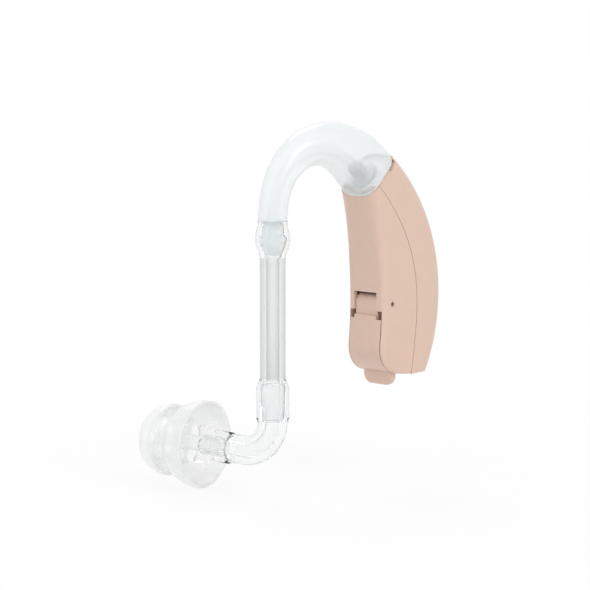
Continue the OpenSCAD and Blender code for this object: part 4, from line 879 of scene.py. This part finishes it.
# Milky and soft pieces, which light passes straight through
see_through(look("hook", (0.93, 0.96, 0.97), 0.16, (2.5, 1.2, 1.0), ((0.915, 0.95, 0.965), (0.94, 0.968, 0.978)),
                 (0.12, 0.2), 0.03, IOR=1.5, Coat_Weight=0.3, Coat_Roughness=0.06), 0.38, 0.8)
# Hook foot: a lighter, nearly opaque skin, painted light over the shaded inside of the hook's foot
see_through(look("hook_foot_painted_light", (0.95, 0.97, 0.975), 0.2, (2.5, 1.2, 1.0), ((0.94, 0.963, 0.97), (0.96, 0.977, 0.983)),
                 (0.16, 0.24), 0.03), 0.85, 0.95)
# Bare tube: its grey colour shows where the skin turns opaque at a slant, painted shade for the dark lines along its
# edges and bore
see_through(look("tubing", (0.6, 0.64, 0.63), 0.08, (3, 1.2, 1.5), ((0.58, 0.62, 0.61), (0.62, 0.66, 0.65)),
                 (0.06, 0.12), 0.02, IOR=1.45, Coat_Weight=0.5, Coat_Roughness=0.03), 0.12, 0.9)
see_through(look("tip", (0.975, 0.985, 0.99), 0.2, (2.5, 0.8, 0.6), ((0.97, 0.98, 0.985), (0.98, 0.99, 0.995)),
                 (0.16, 0.24), 0.03, Coat_Weight=0.4, Coat_Roughness=0.05), 0.19, 0.87)

# Clear plastic, which bends light a little
# Collar and elbow: painted shade darkens their colour towards their slanting edges
painted_edge_shade(look("collar", (0.97, 0.977, 0.978), 0.06, (1.6, 1.2, 1.5), ((0.962, 0.97, 0.972), (0.978, 0.984, 0.984)),
               (0.03, 0.09), 0.05, 0.02, Transmission_Weight=0.95, IOR=1.17), (0.6, 0.66, 0.67), 0.5)
painted_edge_shade(look("elbow", (0.99, 0.994, 0.996), 0.08, (2.5, 1.2, 1), ((0.986, 0.991, 0.994), (0.994, 0.997, 0.998)),
               (0.05, 0.12), 0.02, Transmission_Weight=0.88, IOR=1.18), (0.72, 0.79, 0.82), 0.42)
look("spigot", (0.99, 0.993, 0.995), 0.06, (2.5, 1.2, 1), ((0.986, 0.99, 0.992), (0.994, 0.996, 0.998)),
     (0.04, 0.08), 0.02, Transmission_Weight=0.98, IOR=1.1)

# Plain pieces: colour, roughness, metal, sizes of the grain, colour range, roughness range and bump
PLAIN_LOOKS = {
    "metal": ((0.62, 0.64, 0.67), 0.3, 1, (1, 0.3, 0.15), ((0.58, 0.6, 0.63), (0.66, 0.68, 0.71)), (0.24, 0.38), 0.1),
    "spout": ((0.34, 0.41, 0.49), 0.36, 1, (0.7, 0.3, 0.15), ((0.28, 0.35, 0.43), (0.4, 0.47, 0.55)), (0.3, 0.44), 0.1),
    # Hinge pin: dark grey, painted shade of the hole its end sits in
    "pin": ((0.3, 0.3, 0.31), 0.4, 1, (0.4, 0.2, 0.1), ((0.27, 0.27, 0.28), (0.33, 0.33, 0.34)), (0.34, 0.46), 0.1),
    "gold": ((0.83, 0.68, 0.36), 0.3, 1, (1, 0.3, 0.15), ((0.8, 0.64, 0.32), (0.86, 0.72, 0.4)), (0.24, 0.36), 0.08),
    "rubber": ((0.035, 0.035, 0.038), 0.7, 0, (1.0, 0.4, 0.1), ((0.03, 0.03, 0.033), (0.045, 0.045, 0.048)),
               (0.6, 0.8), 0.2),
    "frame_plastic": ((0.085, 0.08, 0.077), 0.6, 0, (1.5, 0.5, 0.12), ((0.075, 0.07, 0.068), (0.095, 0.09, 0.087)),
                      (0.52, 0.68), 0.2),
    "board": ((0.03, 0.13, 0.06), 0.45, 0, (1.2, 0.4, 0.1), ((0.025, 0.11, 0.05), (0.035, 0.15, 0.07)),
              (0.38, 0.5), 0.1),
    "chip": ((0.02, 0.02, 0.022), 0.5, 0, (0.8, 0.3, 0.08), ((0.017, 0.017, 0.019), (0.026, 0.026, 0.028)),
             (0.42, 0.58), 0.15),
    "ceramic": ((0.42, 0.32, 0.2), 0.55, 0, (0.5, 0.3, 0.08), ((0.38, 0.29, 0.18), (0.46, 0.35, 0.22)),
                (0.48, 0.6), 0.1),
}
WIRE_LOOKS = {
    "red": ((0.6, 0.08, 0.04), ((0.55, 0.07, 0.035), (0.65, 0.09, 0.045))),
    "blue": ((0.06, 0.17, 0.5), ((0.05, 0.15, 0.45), (0.07, 0.19, 0.55))),
    "black": ((0.02, 0.02, 0.022), ((0.018, 0.018, 0.02), (0.025, 0.025, 0.025))),
}
for look_name, (colour, rough, metallic, *grain) in PLAIN_LOOKS.items():
    look(look_name, colour, rough, *grain, Metallic=metallic)
for look_name, (colour, colours) in WIRE_LOOKS.items():
    look(look_name, colour, 0.4, (0.6, 0.3, 0.1), colours, (0.35, 0.45), 0.05)


# ---- Pieces on their bodies ----
def painted(obj, name, other=None, chosen=None):
    """Gives obj one look, and another to the faces whose middle point, in mm, chosen picks."""
    obj.data.materials.clear()
    obj.data.materials.append(MATERIALS[name])
    if other:
        obj.data.materials.append(MATERIALS[other])
        for face in obj.data.polygons:
            face.material_index = int(chosen(np.array(face.center) / MM))
    return obj


def paint_node(node, name):
    """A CAD node keeps its mesh and gets a better material."""
    obj = nodes[node]
    for place in obj.material_slots:
        place.material = MATERIALS[name]
    if not obj.material_slots:
        obj.data.materials.append(MATERIALS[name])
    for face in obj.data.polygons:
        face.use_smooth = True
    add_modifier(obj, "EDGE_SPLIT", split_angle=math.radians(30))


def place_piece(obj, body, slot, *replaced):
    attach(obj, body)
    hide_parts(*replaced)


def on_hook_foot(point):
    """The hook's rim and foot, where it sits on the case: lighter and nearly opaque there, painted light over the shade
    inside.
    """
    return (seat_point(0) - point[[0, 2]]) @ SEAT_IN < 0.3


def on_bare_tube(point):
    """The tube's bare length, between the barb and the elbow's spigot."""
    return TUBE_END_Z + SPIGOT_LENGTH + 0.5 < point[2] < SHOULDER_Z - BARB_LENGTH - 0.5


def from_arm(point):
    """Place of a point along the elbow's arm, and its distance from the arm's axis."""
    reach = point - ARM_START
    along = reach @ ARM
    return along, np.linalg.norm(reach - along * ARM)


def on_spigots(point):
    """The elbow's clearer spigots, where the tube and the tip are pushed over it."""
    along, off_axis = from_arm(point)
    return point[2] > TUBE_END_Z + 0.02 or (along > ARM_LENGTH - 0.05 and off_axis < TIP_SPIGOT_RADIUS + 0.05)


def on_stem(point):
    """The tip's stem, which is as clear as the spigot in it."""
    along, off_axis = from_arm(point)
    return along < TIP_ROOT_END + 0.3 and off_axis < TIP_ROOT_RADIUS + 0.06


def program_button():
    head = button_form("button_head", 0, -1.15, 0, 0.2)
    flange = button_form("button_flange", 0.3, -1.75, -1.2, 0.08)
    return joined("button", [head, flange])


place_piece(painted(case_front(), "case"), "case", "case_plastic", "front_shell")
place_piece(painted(case_rear(), "case"), "case", "case_plastic", "rear_shell")
door = joined("door", [door_skin(), door_knuckle(), door_cradle(), door_tab()])
place_piece(painted(door, "case"), "door", "case_plastic", "battery_door")
place_piece(painted(program_button(), "button"), "button", "button_plastic", "program_button")
place_piece(painted(ear_hook(), "hook", "hook_foot_painted_light", on_hook_foot), "case", "hook_plastic", "ear_hook")
place_piece(painted(hook_nipple(), "spout"), "case", "nipple_metal", "hook_nipple")
place_piece(painted(sound_tube(), "collar", "tubing", on_bare_tube), "tube", "clear_tubing", "sound_tube")
place_piece(painted(elbow(), "elbow", "spigot", on_spigots), "elbow", "clear_plastic", "tube_elbow")
place_piece(painted(ear_tip(), "tip", "spigot", on_stem), "tip", "tip_silicone", "ear_tip")

NODE_LOOKS = {
    "chassis": "frame_plastic", "nipple_seal": "rubber", "door_hinge_pin": "pin", "battery_can": "metal",
    "battery_seal": "rubber", "battery_cap": "metal", "microphone": "gold", "microphone_boot": "rubber",
    "microphone_screen": "metal", "receiver": "metal", "receiver_boot": "rubber", "receiver_tube": "rubber",
    "circuit_board": "board", "amplifier_chip": "chip", "board_capacitors": "ceramic",
    "positive_contact": "gold", "negative_contact": "gold", "tact_switch": "chip",
    "microphone_wires": "red", "receiver_wires": "blue", "battery_leads": "black",
}
for node_name, look_name in NODE_LOOKS.items():
    paint_node(node_name, look_name)

# ---- Floor, world and lamps ----
WHITE = (1, 1, 1, 1)
FLOOR_COLOUR = (0.9, 0.9, 0.9, 1)
FLOOR_GAP, FLOOR_HALF = 0.4, 3000
# The floor is this white near the object, where its shadow shows, and wholly white far off, in metres
NEAR_WHITE, FADE_START, FADE_END = 0.8, 0.02, 0.14
WORLD_LIGHT = 0.66
# Azimuth, elevation and distance of each lamp, its width and its power
LAMPS = {"key": (-5, 42, 500, 220, 0.7), "fill": (-85, 25, 600, 400, 0.6), "back": (150, 50, 500, 250, 0.4)}


def seen_directly(tree):
    """1 for rays from the camera, off gloss and through clear plastic, and 0 for the light on the object."""
    rays = tree.nodes.new("ShaderNodeLightPath")
    seen = rays.outputs["Is Camera Ray"]
    for kind in ("Is Glossy Ray", "Is Transmission Ray"):
        either = add_node(tree, "Math", "MAXIMUM")
        tree.links.new(seen, either.inputs[0])
        tree.links.new(rays.outputs[kind], either.inputs[1])
        seen = either.outputs["Value"]
    return seen


def mixed(tree, share, first, second, output):
    """Mixes two shaders into the output of a material or world."""
    mix = add_node(tree, "MixShader")
    tree.links.new(share, mix.inputs["Fac"])
    tree.links.new(first, mix.inputs[1])
    tree.links.new(second, mix.inputs[2])
    tree.links.new(mix.outputs["Shader"], tree.nodes.new(output).inputs["Surface"])


def make_floor():
    low = cad_box[0][2] - FLOOR_GAP * MM
    mesh = bpy.data.meshes.new("floor")
    mesh.from_pydata([(x * FLOOR_HALF * MM, y * FLOOR_HALF * MM, low) for x, y in ((-1, -1), (1, -1), (1, 1), (-1, 1))],
                     [], [(0, 1, 2, 3)])
    floor = in_scene("floor", mesh)
    made = bpy.data.materials.new("floor")
    made.use_nodes = True
    tree = made.node_tree
    tree.nodes.clear()
    place = tree.nodes.new("ShaderNodeTexCoord")
    length = add_node(tree, "VectorMath", "LENGTH")
    fade = add_node(tree, "MapRange", From_Min=FADE_START, From_Max=FADE_END, To_Min=NEAR_WHITE, To_Max=1)
    share = add_node(tree, "Math", "MULTIPLY")
    tree.links.new(place.outputs["Object"], length.inputs[0])
    tree.links.new(length.outputs["Value"], fade.inputs["Value"])
    tree.links.new(seen_directly(tree), share.inputs[0])
    tree.links.new(fade.outputs["Result"], share.inputs[1])
    plain = add_node(tree, "BsdfDiffuse", Color=FLOOR_COLOUR)
    glow = add_node(tree, "Emission", Color=WHITE, Strength=1)
    mixed(tree, share.outputs["Value"], plain.outputs["BSDF"], glow.outputs["Emission"], "ShaderNodeOutputMaterial")
    floor.data.materials.append(made)


def make_world():
    world = bpy.data.worlds.new("world")
    bpy.context.scene.world = world
    world.use_nodes = True
    tree = world.node_tree
    tree.nodes.clear()
    soft = add_node(tree, "Background", Color=WHITE, Strength=WORLD_LIGHT)
    white = add_node(tree, "Background", Color=WHITE, Strength=1)
    mixed(tree, seen_directly(tree), soft.outputs["Background"], white.outputs["Background"], "ShaderNodeOutputWorld")


def make_lamp(name, azimuth, elevation, distance, size, power):
    data = bpy.data.lights.new(name, "AREA")
    data.shape = "DISK"
    data.size = size * MM
    data.energy = power
    stand(bpy.data.objects.new(name, data), azimuth, elevation, distance)


make_floor()
make_world()
for lamp_name, lamp_values in LAMPS.items():
    make_lamp(lamp_name, *lamp_values)
bpy.context.scene.view_settings.view_transform = "Standard"
